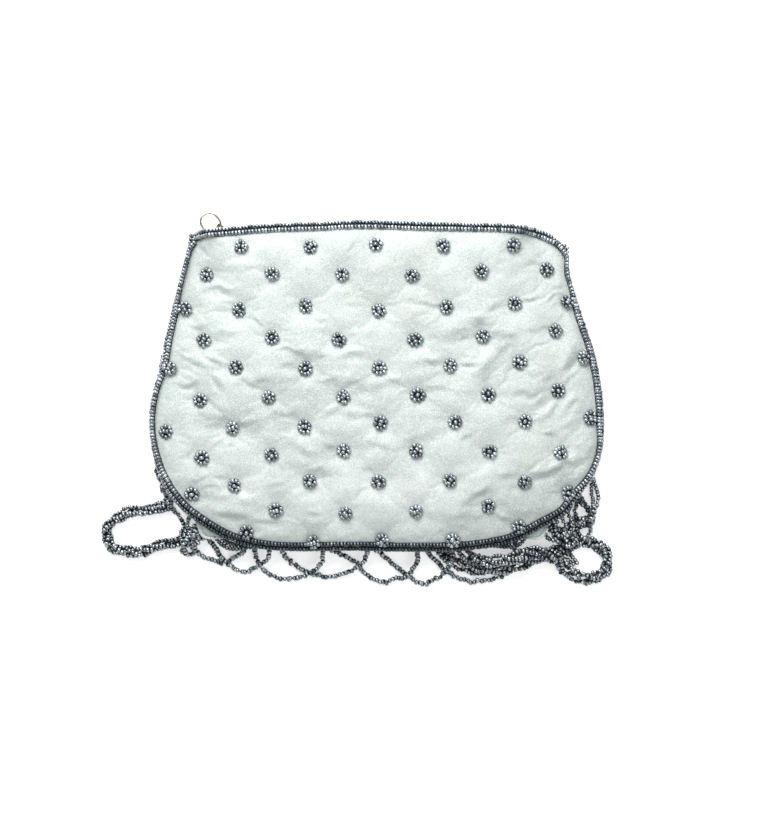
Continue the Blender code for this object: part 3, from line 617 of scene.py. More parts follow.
@dataclass
class Finishes:
    """Every finish of the bag, each built once."""

    satin: Material = built(SatinFinish())
    border: Material = built(BeadFinish("border_beads"))
    rope: Material = built(BeadFinish(
        "rope_beads", (0.052, 0.079, 0.104), (0.57, 0.64, 0.67), dim_full=0.52
    ))
    flower: Material = built(BeadFinish(
        "flower_beads", (0.15, 0.185, 0.215), (0.58, 0.67, 0.7), dim_full=1.05, roughness=0.36
    ))
    thread: Material = built(ThreadFinish())
    chain: Material = built(MetalFinish(
        "zip_chain", (0.52, 0.48, 0.38), (0.34, 0.31, 0.24), 0.26, (1.0, 1.0, 0.2)
    ))
    slider: Material = built(MetalFinish(
        "zip_slider", (0.6, 0.56, 0.46), (0.36, 0.33, 0.27), 0.22, (0.2, 1.0, 1.0)
    ))
    link: Material = built(MetalFinish("dark_link", (0.1, 0.105, 0.075), (0.22, 0.21, 0.16), 0.3))
    ring: Material = built(MetalFinish("pull_wire", (0.66, 0.62, 0.53), (0.42, 0.39, 0.33), 0.16))
    tape: Material = built(ClothFinish(
        "zip_tape", (0.42, 0.47, 0.47), (0.3, 0.35, 0.36), 420.0, math.radians(45.0)
    ))
    lining: Material = built(ClothFinish(
        "lining", (0.55, 0.62, 0.61), (0.44, 0.51, 0.51), 900.0, roughness=0.45, sheen=0.2
    ))
    stiffening: Material = built(ClothFinish("stiffening", (0.8, 0.79, 0.75), (0.7, 0.69, 0.64), 300.0))


# The bag's plan and heights


# Where the back's edge has slipped out past the front's: height share and middle share on
# the outline, half width share, and metres outwards of the satin and of the rows of beads

SLIP_SHARES: Rows = (
    (1.0, 0.22, 0.34, 0.0012, 0.0012), (-0.9, -0.735, 0.05, 0.0048, 0.0002),
    (-1.0, -0.64, 0.075, 0.0004, 0.0044), (-0.85, 0.7, 0.048, 0.0046, 0.0002),
    (-0.95, 0.6, 0.06, 0.0004, 0.0032),
)


@dataclass
class BagPlan:
    """The bag's outline, how far its mouth gapes, and how high each skin lies."""

    width: float = 0.2052
    depth: float = 0.1492
    rim_height: float = 0.011
    front_rise: float = 0.0095
    mouth_gape: float = 0.0065
    seam: float = 0.0013
    satin_inset: float = 0.0024
    stations: int = 2400
    front_spread: float = 0.6
    front_fullness: float = 0.5
    back_spread: float = 0.55
    gape_inner: float = 0.5
    gape_spread: float = 0.4
    mouth_left: float = -0.745
    mouth_right: float = 0.64
    mouth_fade: float = 0.08
    ring_stop: float = 0.0445
    ring_reach: float = 0.0065
    ring_lift: float = 0.0014
    outline_shares: Rows = (
        (-0.824, 0.892), (-0.821, 0.916), (-0.8, 0.928), (-0.634, 0.961), (-0.463, 0.979), (-0.248, 0.99),
        (-0.077, 1.0), (0.14, 0.992), (0.42, 0.984), (0.62, 0.974), (0.705, 0.955), (0.768, 0.917),
        (0.816, 0.862), (0.843, 0.79), (0.849, 0.68), (0.871, 0.576), (0.922, 0.36), (0.961, 0.196),
        (0.989, 0.0), (1.0, -0.19), (0.99, -0.4), (0.955, -0.54), (0.879, -0.685), (0.838, -0.762),
        (0.748, -0.838), (0.6, -0.94), (0.428, -0.986), (0.173, -0.998), (-0.16, -0.992), (-0.33, -0.996),
        (-0.493, -0.984), (-0.625, -0.944), (-0.76, -0.845), (-0.862, -0.737), (-0.923, -0.631),
        (-0.96, -0.52), (-0.985, -0.389), (-1.0, -0.232), (-0.985, -0.04), (-0.952, 0.115), (-0.923, 0.329),
        (-0.89, 0.52), (-0.86, 0.68), (-0.838, 0.8), (-0.824, 0.892),
    )
    corner_shares: Rows = ((-0.824, 0.892), (0.8, 0.885), (0.85, -0.745), (-0.84, -0.765))

    def __post_init__(self) -> None:
        """Walk the outline and find where its four corners lie along it."""
        self.half = np.array((self.width / 2, self.depth / 2))
        self.rim = smooth_through(np.array(self.outline_shares) * self.half, self.stations)
        self.run = np.linspace(0.0, 1.0, self.stations)
        corners = np.array(self.corner_shares) * self.half
        gaps = np.linalg.norm(self.rim[:, None] - corners[None], axis=2)
        self.corners = self.run[gaps.argmin(axis=0)]
        self.corners[0] = 0.0
        self.length = float(lengths_along(self.rim)[-1])
        self.area = 0.5 * abs(
            float(np.sum(self.rim[:-1, 0] * self.rim[1:, 1] - self.rim[1:, 0] * self.rim[:-1, 1]))
        )

    def edge(self, along: Array) -> Array:
        """Points of the outer edge at shares of its length."""
        return np.stack([np.interp(along, self.run, axis) for axis in self.rim.T], axis=-1)

    def inset(self, along: Array, amount: Array | float) -> Array:
        """Points drawn in from the outer edge by an amount, towards the middle."""
        amount = np.asarray(amount, float)[..., None]
        return self.edge(along) * (1.0 - amount / self.half)

    def ring_room(self, x: Array) -> Array:
        """How far the front's lip is drawn up where the ring stands with the zip undone."""
        return self.ring_lift * np.exp(-(((x - self.ring_stop) / self.ring_reach) ** 2))

    def slip(self, along: Array, rows: bool = False) -> Array:
        """How far the back's edge lies outside the front's, where the photograph shows it.

        Args:
            along: Places along the outline.
            rows: Whether the rows of beads are meant, or else the satin.

        Returns:
            Outward offsets.
        """
        place = self.edge(along) / self.half
        total = np.zeros(np.shape(along))
        for level, middle, wide, satin_out, rows_out in SLIP_SHARES:
            there = np.abs(place[..., 1] - level) < 0.4
            bump = np.exp(-(((place[..., 0] - middle) / wide) ** 2)) * there
            total = total + bump * (rows_out if rows else satin_out)
        return total

    def gape(self, along: Array) -> Array:
        """How far the mouth is open, from 0 to 1, by the place along the outline."""
        share = self.edge(along) / self.half
        left = ease(self.mouth_left - self.mouth_fade, self.mouth_left, share[..., 0])
        right = ease(self.mouth_right, self.mouth_right + self.mouth_fade, share[..., 0])
        return np.where(share[..., 1] > 0, left * (1.0 - right), 0.0)

    def height(self, side: Side, share: Array, gape: Array) -> Array:
        """Height of a skin's outer face: rim, open mouth and padded rise, added up.

        Args:
            side: The face of the bag.
            share: Share of the way from the middle to the satin's edge.
            gape: How open the mouth is there.

        Returns:
            Heights.
        """
        lift = ease(self.gape_inner, self.gape_inner + self.gape_spread, share)
        opening = self.mouth_gape * gape * lift
        if side is Side.FRONT:
            form = ease(0.0, self.front_spread, 1.0 - share) ** self.front_fullness
            return self.rim_height + self.seam / 2 + opening + self.front_rise * form
        drop = self.rim_height - self.seam / 2
        return drop - opening - drop * ease(0.0, self.back_spread, 1.0 - share)

    def place_of(self, x: Array, y: Array) -> tuple[Array, Array]:
        """Share and place along the outline of points of the plan.

        A point's place is where the ray from the middle through it meets the satin's
        edge, and its share is how far along the ray it lies.

        Args:
            x: Places along X.
            y: Places along Y.

        Returns:
            Shares from the middle, and places along the outline.
        """
        satin = self.inset(self.run, self.satin_inset)
        turn = np.unwrap(np.arctan2(satin[:, 1], satin[:, 0]))
        wanted = np.arctan2(y, x)
        wanted = np.where(wanted > turn[0] + 1e-9, wanted - 2 * math.pi, wanted)
        along = np.interp(-wanted, -turn, self.run)
        reach = np.linalg.norm(self.inset(along, self.satin_inset), axis=-1)
        return np.hypot(x, y) / reach, along

    def skin(self, side: Side, x: Array, y: Array) -> Array:
        """Height of a skin's outer face over points of the plan."""
        share, along = self.place_of(np.asarray(x, float), np.asarray(y, float))
        return self.height(side, np.minimum(share, 1.0), self.gape(along))

    def grid(self, across: int, down: int) -> tuple[Array, Array]:
        """Share and place along the outline for a square grid laid over the plan.

        The grid is a nest of squares: a point's share is the larger of its coordinates,
        and its place along the outline follows its square's edge, corner to corner.

        Args:
            across: Cells across.
            down: Cells down.

        Returns:
            Shares and places, as arrays of down + 1 rows.
        """
        s, t = np.meshgrid(np.linspace(-1, 1, across + 1), np.linspace(1, -1, down + 1))
        share = np.maximum(np.abs(s), np.abs(t))
        safe = np.maximum(share, 1e-9)
        u, v = s / safe, t / safe
        tiny = 1.0 - 1e-9
        lap = np.select(
            [v >= tiny, u >= tiny, v <= -tiny], [(u + 1) / 2, 1 + (1 - v) / 2, 2 + (1 - u) / 2],
            3 + (v + 1) / 2,
        )
        stops = np.append(self.corners, 1.0)
        return share, np.interp(lap, np.arange(5), stops)


# Middle of each bead flower in the photograph, row by row, in its pixels

FLOWER_PIXELS: tuple[Rows, ...] = (
    ((242, 248), (311, 248), (376, 246), (443, 247.5), (513, 246.5)),
    ((207, 275), (273, 275), (342.5, 276), (412, 277), (481, 272.5), (546.5, 270)),
    ((185, 308.5), (239.5, 310.5), (306.5, 306.5), (379, 311.6), (445.7, 308), (514, 304), (567, 301.7)),
    ((204.5, 340.5), (272.5, 338), (339, 340.4), (414.7, 340.3), (482, 337), (555, 331.3)),
    ((170, 368), (236.6, 367.5), (306, 369), (379.5, 368.6), (449.7, 366), (519, 362.3), (583.6, 358)),
    ((200.7, 400), (269.3, 397.3), (343.5, 397.3), (417.5, 395.3), (487.5, 394.3), (557.5, 390.5)),
    ((166.3, 431.6), (233.2, 428.2), (305, 426.8), (380.7, 423), (454.6, 422), (524.2, 421.5), (590, 418)),
    ((202.5, 457.7), (272, 454.5), (344, 450.3), (415.8, 450.6), (489, 451.4), (560, 452.7)),
    ((192.3, 494.3), (235.4, 485.4), (310.4, 481), (378.6, 481.6), (449.2, 480.6), (524.4, 482)),
    ((276, 510), (345.6, 513.5), (415.8, 511), (488, 506), (567.7, 493)),
    ((246.6, 532), (313, 542), (382.5, 540), (453, 540.3), (519, 527)),
)
PIXEL_SIZE = 0.00045
MIDDLE_PIXEL = (376.5, 386.5)

# The satin's creases in the photograph: middle in its pixels, half length and half width
# in pixels, slant in degrees from level, and depth as a share of the half width

# The depth share also sets how much painted shade each crease gets.
CREASE_SHARES: Rows = (
    (218, 291, 17, 5, 0, 0.42), (221, 337, 13, 6, 10, 0.3), (202, 328, 9, 5, 0, 0.25),
    (194, 360, 14, 4, -20, 0.32), (213, 358, 14, 3.2, -35, 0.34), (188, 383, 14, 6, 8, 0.3),
    (218, 383, 12, 4.5, -45, 0.34), (250, 269, 20, 3.5, 4, 0.18), (257, 321, 11, 3.5, -42, 0.2),
    (322, 320, 10, 4, 12, 0.24), (353, 246, 7, 4, 30, 0.22), (288, 352, 15, 4, -5, 0.22),
    (306, 357, 22, 6, 0, 0.22), (290, 367, 7, 4, 0, 0.3), (352, 357, 18, 5, 0, 0.28),
    (262, 382, 24, 7, 0, 0.24), (343, 384, 18, 6, 0, 0.24), (352, 305, 6, 3.5, 0, 0.18),
    (428, 304, 17, 4, -5, 0.36), (420, 314, 8, 3.5, 20, 0.22), (420, 248, 7, 3.5, 0, 0.16),
    (388, 306, 8, 3.5, 0, 0.22), (458, 336, 15, 6, 12, 0.34), (480, 323, 9, 6, 0, 0.28),
    (499, 336, 13, 4.5, 0, 0.32), (492, 308, 6, 5, 0, 0.26), (430, 362, 16, 5, 6, 0.3),
    (470, 364, 10, 4, 0, 0.3), (493, 362, 26, 8, 52, 0.26), (532, 299, 11, 3, 20, 0.34),
    (553, 298, 10, 3, 32, 0.4), (530, 264, 13, 3.2, -4, 0.32), (550, 287, 13, 4, 8, 0.18),
    (539, 330, 13, 3.5, 5, 0.3), (535, 344, 10, 3, 14, 0.26), (569, 361, 14, 6, 60, 0.28),
    (534, 374, 10, 4, 0, 0.26), (571, 378, 9, 3, 42, 0.28), (526, 393, 20, 6, 4, 0.34),
    (546, 381, 8, 4.5, 20, 0.3), (388, 384, 24, 7, 8, 0.24), (432, 387, 18, 6, 0, 0.22),
    (212, 401, 8, 3.5, -50, 0.34), (206, 414, 10, 5, 0, 0.28), (240, 424, 30, 9, -4, 0.26),
    (226, 443, 16, 5, 5, 0.26), (284, 415, 20, 7, 0, 0.32), (334, 412, 10, 5, 20, 0.24),
    (357, 415, 18, 5, 0, 0.24), (190, 449, 9, 4, 40, 0.24), (206, 477, 19, 4, 8, 0.32),
    (226, 498, 26, 5, -12, 0.3), (236, 516, 18, 5, -10, 0.32), (277, 484, 9, 4, 0, 0.26),
    (314, 514, 8, 3.5, 0, 0.26), (319, 472, 16, 5, 6, 0.3), (332, 448, 8, 6, 0, 0.24),
    (372, 468, 9, 6, 0, 0.24), (300, 447, 18, 6, -30, 0.2), (378, 445, 14, 6, 0, 0.2),
    (512, 419, 9, 5, 10, 0.28), (540, 402, 13, 4.5, 22, 0.42), (552, 412, 15, 4.5, 42, 0.34),
    (570, 407, 12, 4.5, 40, 0.38), (568, 426, 10, 5, 20, 0.26), (550, 434, 6, 4, 0, 0.3),
    (467, 437, 9, 4.5, 45, 0.24), (584, 450, 10, 5, 10, 0.28), (557, 468, 38, 7, 20, 0.46),
    (479, 494, 20, 6, 34, 0.4), (504, 474, 16, 5, 4, 0.26), (502, 518, 12, 3.5, -40, 0.4),
    (472, 517, 24, 5, -4, 0.26), (271, 523, 14, 3.5, -4, 0.32), (420, 438, 20, 6, 20, 0.18),
)

# Broad patches of painted shade on the satin or, below nought, of painted highlight: middle,
# half width and half height in pixels, and how much

PAINTED_SHADING_PATCHES: Rows = (
    (376, 405, 230, 44, 0.34), (308, 366, 26, 14, 0.85), (245, 415, 50, 20, 0.85), (340, 395, 60, 15, 0.24),
    (460, 330, 36, 13, 0.75), (497, 335, 22, 14, 0.42), (344, 450, 42, 14, 0.7), (430, 376, 42, 13, 0.26),
    (535, 378, 42, 16, 0.26), (213, 366, 16, 9, 0.5), (232, 312, 20, 6, 0.4), (268, 374, 16, 12, 0.3),
    (198, 488, 18, 16, 0.6), (226, 516, 28, 11, 0.6), (300, 522, 34, 8, 0.34), (474, 520, 24, 10, 0.6),
    (535, 486, 18, 10, 0.4), (325, 398, 24, 12, 0.4), (270, 480, 22, 9, -0.5), (290, 395, 30, 10, 0.3),
    (245, 268, 24, 9, -0.3), (510, 503, 34, 12, 0.4), (556, 480, 26, 14, 0.95), (502, 518, 38, 13, 1.0),
    (530, 500, 24, 12, 0.7), (360, 240, 170, 16, 0.3), (330, 490, 78, 15, -0.75), (405, 492, 60, 15, -0.75),
    (470, 470, 34, 10, -0.4), (560, 452, 30, 8, -0.5), (212, 378, 10, 5, -0.6), (460, 316, 12, 4, -0.6),
    (216, 442, 26, 9, -0.45), (488, 352, 30, 6, -0.4), (275, 432, 30, 8, -0.35), (385, 350, 30, 8, -0.3),
    (240, 495, 24, 8, -0.5),
)


def on_plan(pixels: Array | Sequence[Sequence[float]]) -> Array:
    """Places on the plan of places in the photograph, given across and down."""
    return (np.array(pixels) - MIDDLE_PIXEL) * (PIXEL_SIZE, -PIXEL_SIZE)


def flower_places() -> Array:
    """Middle of each bead flower on the plan, as (x, y) pairs."""
    return on_plan([place for row in FLOWER_PIXELS for place in row])


# Satin, stiffening and lining


@dataclass
class SatinPanels:
    """The two satin panels: stretched over the padding and drawn down at each flower."""

    plan: BagPlan
    finishes: Finishes
    wall: float = 0.0003
    across: int = 250
    down: int = 180
    back_across: int = 150
    back_down: int = 110
    dimple: float = 0.0004
    dimple_reach: float = 0.0046
    crease: float = 0.00005
    fan_radius: float = 0.0062
    fan_width: float = 0.003
    fold_cells: Rows = ((0.012, 0.0046), (0.0085, 0.0036))
    ridge_cells: Rows = ((0.0052, 0.0027), (0.0031, 0.0022))
    wave_cells: Row = (0.005, 0.005)
    uneven_cells: Row = (0.004, 0.003)
    mottle_cells: Row = (0.008, 0.0042)
    back_cells: Row = (0.016, 0.008)
    back_fold: float = 0.0005
    swell: float = 0.00085
    fold: float = 0.00016
    crumple: float = 0.00013
    wave: float = 0.0013
    firm: float = 1.8
    # Painted shading: a random mottle, painted shadow full where the back slips out this far, and painted
    # shade in creases by this strength.
    mottling: float = 0.17
    worn_slip: float = 0.002
    dulling: float = 1.8
    slack: float = 0.01
    puff: float = 0.9
    frames: int = 12
    pin_inner: float = 0.0022
    pin_outer: float = 0.0034
    move_cap: float = 0.0007
    clearance: float = 0.0001
    floor_rounds: int = 12
    floor_ease: float = 0.000004
    tree: BVHTree | None = None
    bridge_reach: float = 0.048
    bridge_rounds: int = 420
    edge_wall: float = 0.00025
    edge_stations: int = 760
    seam_profile: Rows = (
        (0.0026, 0.00004), (0.0019, -0.0001), (0.0014, -0.0003), (0.0013, -0.0005), (0.0013, -0.00062),
    )
    mouth_profile: Rows = (
        (0.0026, 0.00004), (0.0017, -0.0001), (0.0013, -0.0006), (0.0016, -0.0014), (0.0028, -0.0024),
    )
    seed: int = 7

    def lowest(self, x: Array, y: Array) -> Array:
        """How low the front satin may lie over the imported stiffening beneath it.

        Rays from above find the stiffening. Each height is then the greatest of its own
        and its eight neighbours', and hollows are filled from beside.

        Args:
            x: Places along X, as a grid.
            y: Places along Y.

        Returns:
            Heights, far below the sheet where there is no stiffening.
        """
        above = 2 * self.plan.rim_height + self.plan.front_rise
        found = heights_below(tree_of("front_interlining"), x, y, above)
        floor = np.where(np.isnan(found), -1.0, found + self.wall + self.clearance)
        grid = np.pad(floor, 1, mode="edge")
        near = [grid[i : i + self.down + 1, j : j + self.across + 1] for i in range(3) for j in range(3)]
        grid = np.max(near, axis=0)
        for _ in range(self.floor_rounds):
            inner = grid[1:-1, 1:-1] - self.floor_ease
            grid[1:-1, 1:-1] = np.maximum(inner, neighbour_mean(grid))
        return grid

    def bridged(self, x: Array, y: Array, z: Array, share: Array, floor: Array) -> Array:
        """Pull the satin taut at both ends of the mouth, where the rim steps down.

        Each round moves a point towards the mean of its neighbours, never beneath the
        stiffening. The pull fades away from the mouth's ends and stops at the edge.

        Args:
            x: Places along X, as a grid.
            y: Places along Y.
            z: Heights.
            share: Share of the way from the middle to the edge.
            floor: The lowest heights allowed.

        Returns:
            New heights.
        """
        plan = self.plan
        weight = np.zeros_like(z)
        for end, row in ((plan.mouth_left, 0.9), (plan.mouth_right, 0.94)):
            away = np.hypot(x - end * plan.width / 2, (y - row * plan.depth / 2) * 0.6)
            weight = np.maximum(weight, 1.0 - ease(0.55, 1.0, away / self.bridge_reach))
        weight = weight * (1.0 - ease(0.95, 0.985, share))
        for _ in range(self.bridge_rounds):
            mean = z.copy()
            mean[1:-1, 1:-1] = neighbour_mean(z)
            z = z + weight * (np.maximum(mean, floor) - z)
        return z

    def puckers(self, x: Array, y: Array, flowers: Array) -> Array:
        """How far the satin leaves its smooth form.

        Each flower pulls a round dimple with short creases fanned about it, the cloth
        swells between flowers, and long low folds run mostly across the bag.

        Args:
            x: Places along X.
            y: Places along Y.
            flowers: The flowers' middles.

        Returns:
            Offsets along Z.
        """
        rng = np.random.default_rng(self.seed)
        dx = x[..., None] - flowers[:, 0]
        dy = y[..., None] - flowers[:, 1]
        away = np.hypot(dx, dy)
        turn = np.arctan2(dy, dx)
        pull = np.exp(-((away / self.dimple_reach) ** 2))
        fans = rng.integers(4, 8, len(flowers))
        phase = rng.uniform(0, 2 * math.pi, len(flowers))
        ring = np.exp(-(((away - self.fan_radius) / self.fan_width) ** 2))
        creases = (np.cos(turn * fans + phase) * ring).sum(axis=-1)
        tight = np.clip(pull.sum(axis=-1), 0.0, 1.0)
        long, short = self.fold_cells
        folds = drift(x, y, *long, self.seed + 1) * 0.55
        folds = folds + drift(x + 0.3 * y, y - 0.35 * x, *short, self.seed + 2) * 0.45
        broad, fine = self.ridge_cells
        ridged = np.abs(drift(x + 0.2 * y, y - 0.3 * x, *broad, self.seed + 3))
        ridged = ridged + 0.6 * np.abs(drift(x - 0.3 * y, y + 0.2 * x, *fine, self.seed + 4))
        return (
            self.crumple * ridged * (1 - 0.7 * tight)
            + self.swell * (1 - tight)
            - self.dimple * tight
            + self.crease * creases
            + self.fold * folds * (1 - tight)
        )

    def dents(self, x: Array, y: Array) -> tuple[Array, Array]:
        """Depth of the creases seen in the photograph, and the painted shade and highlight on the satin.

        Each crease is a small fold: up its own slope u, in half widths, the cloth falls
        by u times exp(-u^2), so a ridge lies above a trough. Its painted shade is strongest in
        the middle. Broad patches add painted shade, and painted highlight where their amount is
        below nought; a slow random mottle is added on top.

        Args:
            x: Places along X.
            y: Places along Y.

        Returns:
            Depths, and painted shade from -1 to 1, which below nought is painted highlight.
        """
        depth = np.zeros_like(x)
        dull = np.zeros_like(x)
        wave_x = self.wave * drift(x, y, *self.wave_cells, self.seed + 11)
        wave_y = self.wave * drift(x, y, *self.wave_cells, self.seed + 12)
        uneven = 1.0 + 0.45 * drift(x, y, *self.uneven_cells, self.seed + 13)
        for column, row, reach, width, slant, share in CREASE_SHARES:
            turn = math.radians(slant)
            dx = x + wave_x - (column - MIDDLE_PIXEL[0]) * PIXEL_SIZE
            dy = y + wave_y - (MIDDLE_PIXEL[1] - row) * PIXEL_SIZE
            wall = width * PIXEL_SIZE
            along = (dx * math.cos(turn) + dy * math.sin(turn)) / (reach * PIXEL_SIZE)
            up = (dy * math.cos(turn) - dx * math.sin(turn)) / wall
            middle = np.exp(-(along**2) - up**2) * uneven
            depth = depth - share * wall * self.firm * up * middle
            dull = dull + share * middle * self.dulling
        for column, row, wide, high, amount in PAINTED_SHADING_PATCHES:
            dx = (x + 2 * wave_x) / PIXEL_SIZE - (column - MIDDLE_PIXEL[0])
            dy = (y + 2 * wave_y) / PIXEL_SIZE - (MIDDLE_PIXEL[1] - row)
            dull = dull + amount * uneven * np.exp(-((dx / wide) ** 2) - (dy / high) ** 2)
        mottle = drift(x + wave_x, y + wave_y, *self.mottle_cells, self.seed + 14)
        dull = dull + self.mottling * np.clip(2.2 * mottle, -1.0, 1.0)
        return depth, np.clip(dull, -1.0, 1.0)

    def front(self) -> None:
        """The front panel, relaxed as cloth in a full run."""
        plan = self.plan
        share, along = plan.grid(self.across, self.down)
        edge = plan.inset(along, plan.satin_inset)
        x, y = edge[..., 0] * share, edge[..., 1] * share
        flowers = flower_places()
        base = plan.height(Side.FRONT, share, plan.gape(along))
        hold = ease(0.0, 0.04, 1.0 - share)
        floor = self.lowest(x, y)
        base = self.bridged(x, y, np.maximum(base, floor), share, floor)
        # The front carries its painted shade and highlight, with the mottle, as an attribute.
        depth, dull = self.dents(x, y)
        z = np.maximum(base + (self.puckers(x, y, flowers) - depth) * hold, floor)
        piece = make_piece(
            "satin_front", grid_form(x, y, z, flip=True), self.finishes.satin, ["front_panel"],
            {"dull": dull.reshape(-1)},
        )
        away = np.hypot(x.reshape(-1, 1) - flowers[:, 0], y.reshape(-1, 1) - flowers[:, 1]).min(axis=1)
        held = np.maximum(
            1.0 - ease(self.pin_inner, self.pin_outer, away), ease(0.955, 0.985, share.reshape(-1)),
        )
        self.relax(piece, held, floor.reshape(-1))
        self.declare(piece)

    def declare(self, piece: Object) -> None:
        """Give a panel its wall."""
        thicken(piece, self.wall)

    def relax(self, piece: Object, held: Array, floor: Array) -> None:
        """Let the cloth settle: a little too large, pushed out by its padding.

        Points near a flower or the edge are pinned. No point moves further than the cap,
        or below the stiffening.

        Args:
            piece: The sheet, whose mesh is moved.
            held: How firmly each vertex is pinned, from 0 to 1.
            floor: The lowest height allowed at each vertex.
        """
        scene = bpy.context.scene
        mesh = piece.data
        start = places_of(mesh)
        group = piece.vertex_groups.new(name="held")
        for level in np.unique(np.round(held, 2)):
            chosen = np.flatnonzero(np.round(held, 2) == level).tolist()
            group.add(chosen, float(level), "REPLACE")
        old_gravity = tuple(scene.gravity)
        scene.gravity = (0.0, 0.0, self.puff)
        cloth = piece.modifiers.new("cloth", "CLOTH")
        settings = cloth.settings
        settings.vertex_group_mass = "held"
        settings.quality = 6
        settings.mass = 0.06
        settings.tension_stiffness = settings.compression_stiffness = 18.0
        settings.shear_stiffness = 9.0
        settings.bending_stiffness = 0.006
        settings.shrink_min = -self.slack
        cloth.point_cache.frame_start = 1
        cloth.point_cache.frame_end = self.frames
        for frame in range(1, self.frames + 1):
            scene.frame_set(frame)
        shape = piece.evaluated_get(bpy.context.evaluated_depsgraph_get()).to_mesh()
        move = places_of(shape) - start
        size = np.linalg.norm(move, axis=1, keepdims=True)
        move *= np.minimum(1.0, self.move_cap / np.maximum(size, 1e-9))
        ended = start + move
        ended[:, 2] = np.maximum(ended[:, 2], floor)
        piece.modifiers.remove(cloth)
        piece.vertex_groups.remove(group)
        mesh.vertices.foreach_set("co", ended.astype(np.float32).reshape(-1))
        mesh.update()
        scene.gravity = old_gravity
        scene.frame_set(1)

    def heights(self, x: Array, y: Array) -> Array:
        """Heights of the finished front by rays from above, or the plan's past its edge.

        Args:
            x: Places along X.
            y: Places along Y.

        Returns:
            Heights.
        """
        if self.tree is None:
            self.tree = tree_of("satin_front")
        above = 3 * self.plan.rim_height + self.plan.front_rise
        found = heights_below(self.tree, x, y, above)
        return np.where(np.isnan(found), self.plan.skin(Side.FRONT, x, y), found)

    def back(self) -> None:
        """The back panel: flat where it rests, with slow folds towards its edge."""
        plan = self.plan
        share, along = plan.grid(self.back_across, self.back_down)
        edge = plan.inset(along, plan.satin_inset - plan.slip(along))
        x, y = edge[..., 0] * share, edge[..., 1] * share
        z = plan.height(Side.BACK, share, plan.gape(along))
        free = ease(0.0, 0.08, 1.0 - share)
        ripple = 0.5 + 0.5 * drift(x, y, *self.back_cells, self.seed + 5)
        z = z + self.back_fold * ripple * free
        # Painted shadow on the satin where the back's edge slips out past the front.
        piece = make_piece(
            "satin_back", grid_form(x, y, z), self.finishes.satin, ["back_panel"],
            {"dull": np.clip(plan.slip(along).reshape(-1) / self.worn_slip, 0.0, 1.0)},
        )
        self.declare(piece)

    def turned_edge(self, side: Side) -> None:
        """The satin turned in at its edge: into the side seam, or at the mouth to the lining.

        A profile of (inset, height) pairs is carried along the outline. It blends from
        the seam's form to the mouth's by how open the mouth is.

        Args:
            side: The face of the bag.
        """
        plan = self.plan
        stations = self.edge_stations
        along = np.linspace(0.0, 1.0, stations, endpoint=False)
        gape = plan.gape(along)
        skin = plan.height(side, np.ones_like(along), gape)
        seam, mouth = np.array(self.seam_profile), np.array(self.mouth_profile)
        count = len(seam)
        profile = seam[None] * (1 - gape)[:, None, None] + mouth[None] * gape[:, None, None]
        if side is Side.FRONT:
            room = plan.ring_room(plan.edge(along)[:, 0]) * gape
            profile[:, -2, 1] += room * 0.4
            profile[:, -1, 1] += room
        out = plan.slip(along) if side is Side.BACK else np.zeros(stations)
        flat = np.stack([plan.inset(along, profile[:, k, 0] - out) for k in range(count)], axis=1)
        rise = skin[:, None] + side.value * profile[..., 1]
        verts = np.concatenate([flat, rise[..., None]], axis=-1).reshape(-1, 3)
        here = np.arange(stations) * count
        after = np.roll(here, -1)
        quads = []
        for k in range(count - 1):
            quad = np.stack([here + k, after + k, after + k + 1, here + k + 1], axis=-1)
            quads.append(quad if side is Side.BACK else quad[:, ::-1])
        # Painted shadow where the back's edge slips out past the front.
        dull = np.repeat(np.clip(out / self.worn_slip, 0.0, 1.0), count)
        piece = make_piece(
            f"turned_edge_{side.word}", (verts, np.vstack(quads)), self.finishes.satin,
            values={"dull": dull},
        )
        thicken(piece, self.edge_wall)

    def build(self) -> None:
        """Both panels and their turned edges, and a finish for the hidden stiffening."""
        self.front()
        self.back()
        for side in Side:
            self.turned_edge(side)
            dress(f"{side.word}_interlining", self.finishes.stiffening)


@dataclass
class Lining:
    """The lining: two soft skins that meet in the side seams and open at the mouth."""

    plan: BagPlan
    finishes: Finishes
    depth: float = 0.0023
    edge_share: float = 0.865
    mouth_share: float = 0.98
    flat_share: Row = (0.88, 0.9)
    area_share: float = 0.8
    wall: float = 0.0003
    seam_gap: float = 0.0002
    slack_depth: float = 0.0006
    slack_cells: Row = (0.011, 0.017)
    across: int = 110
    down: int = 80
    seed: int = 31

    def skin(self, side: Side) -> None:
        """One side of the pocket, with its edge brought to the seam.

        Args:
            side: The face of the bag.
        """
        plan = self.plan
        share, along = plan.grid(self.across, self.down)
        gape = plan.gape(along)
        limit = self.edge_share + (self.mouth_share - self.edge_share) * gape
        at = share * limit
        edge = plan.inset(along, plan.satin_inset)
        x, y = edge[..., 0] * at, edge[..., 1] * at
        z = plan.height(side, at, gape) - side.value * self.depth
        if side is Side.FRONT:
            z = z + plan.ring_room(x) * gape * ease(0.9, 1.0, share)
        seam = ease(0.93, 1.0, share) * (1.0 - gape)
        level = plan.rim_height + side.value * self.seam_gap
        z = z * (1.0 - seam) + level * seam
        free = ease(0.0, 0.1, 1.0 - share)
        slack = 0.5 + 0.5 * drift(x, y, *self.slack_cells, self.seed + side.value)
        z = z - side.value * self.slack_depth * slack * free
        piece = make_piece(
            f"lining_{side.word}", grid_form(x, y, z, flip=side is Side.FRONT), self.finishes.lining,
            ["lining_pocket"],
        )
        thicken(piece, self.wall)

    def build(self) -> None:
        """Both sides of the pocket."""
        for side in Side:
            self.skin(side)


# Beads


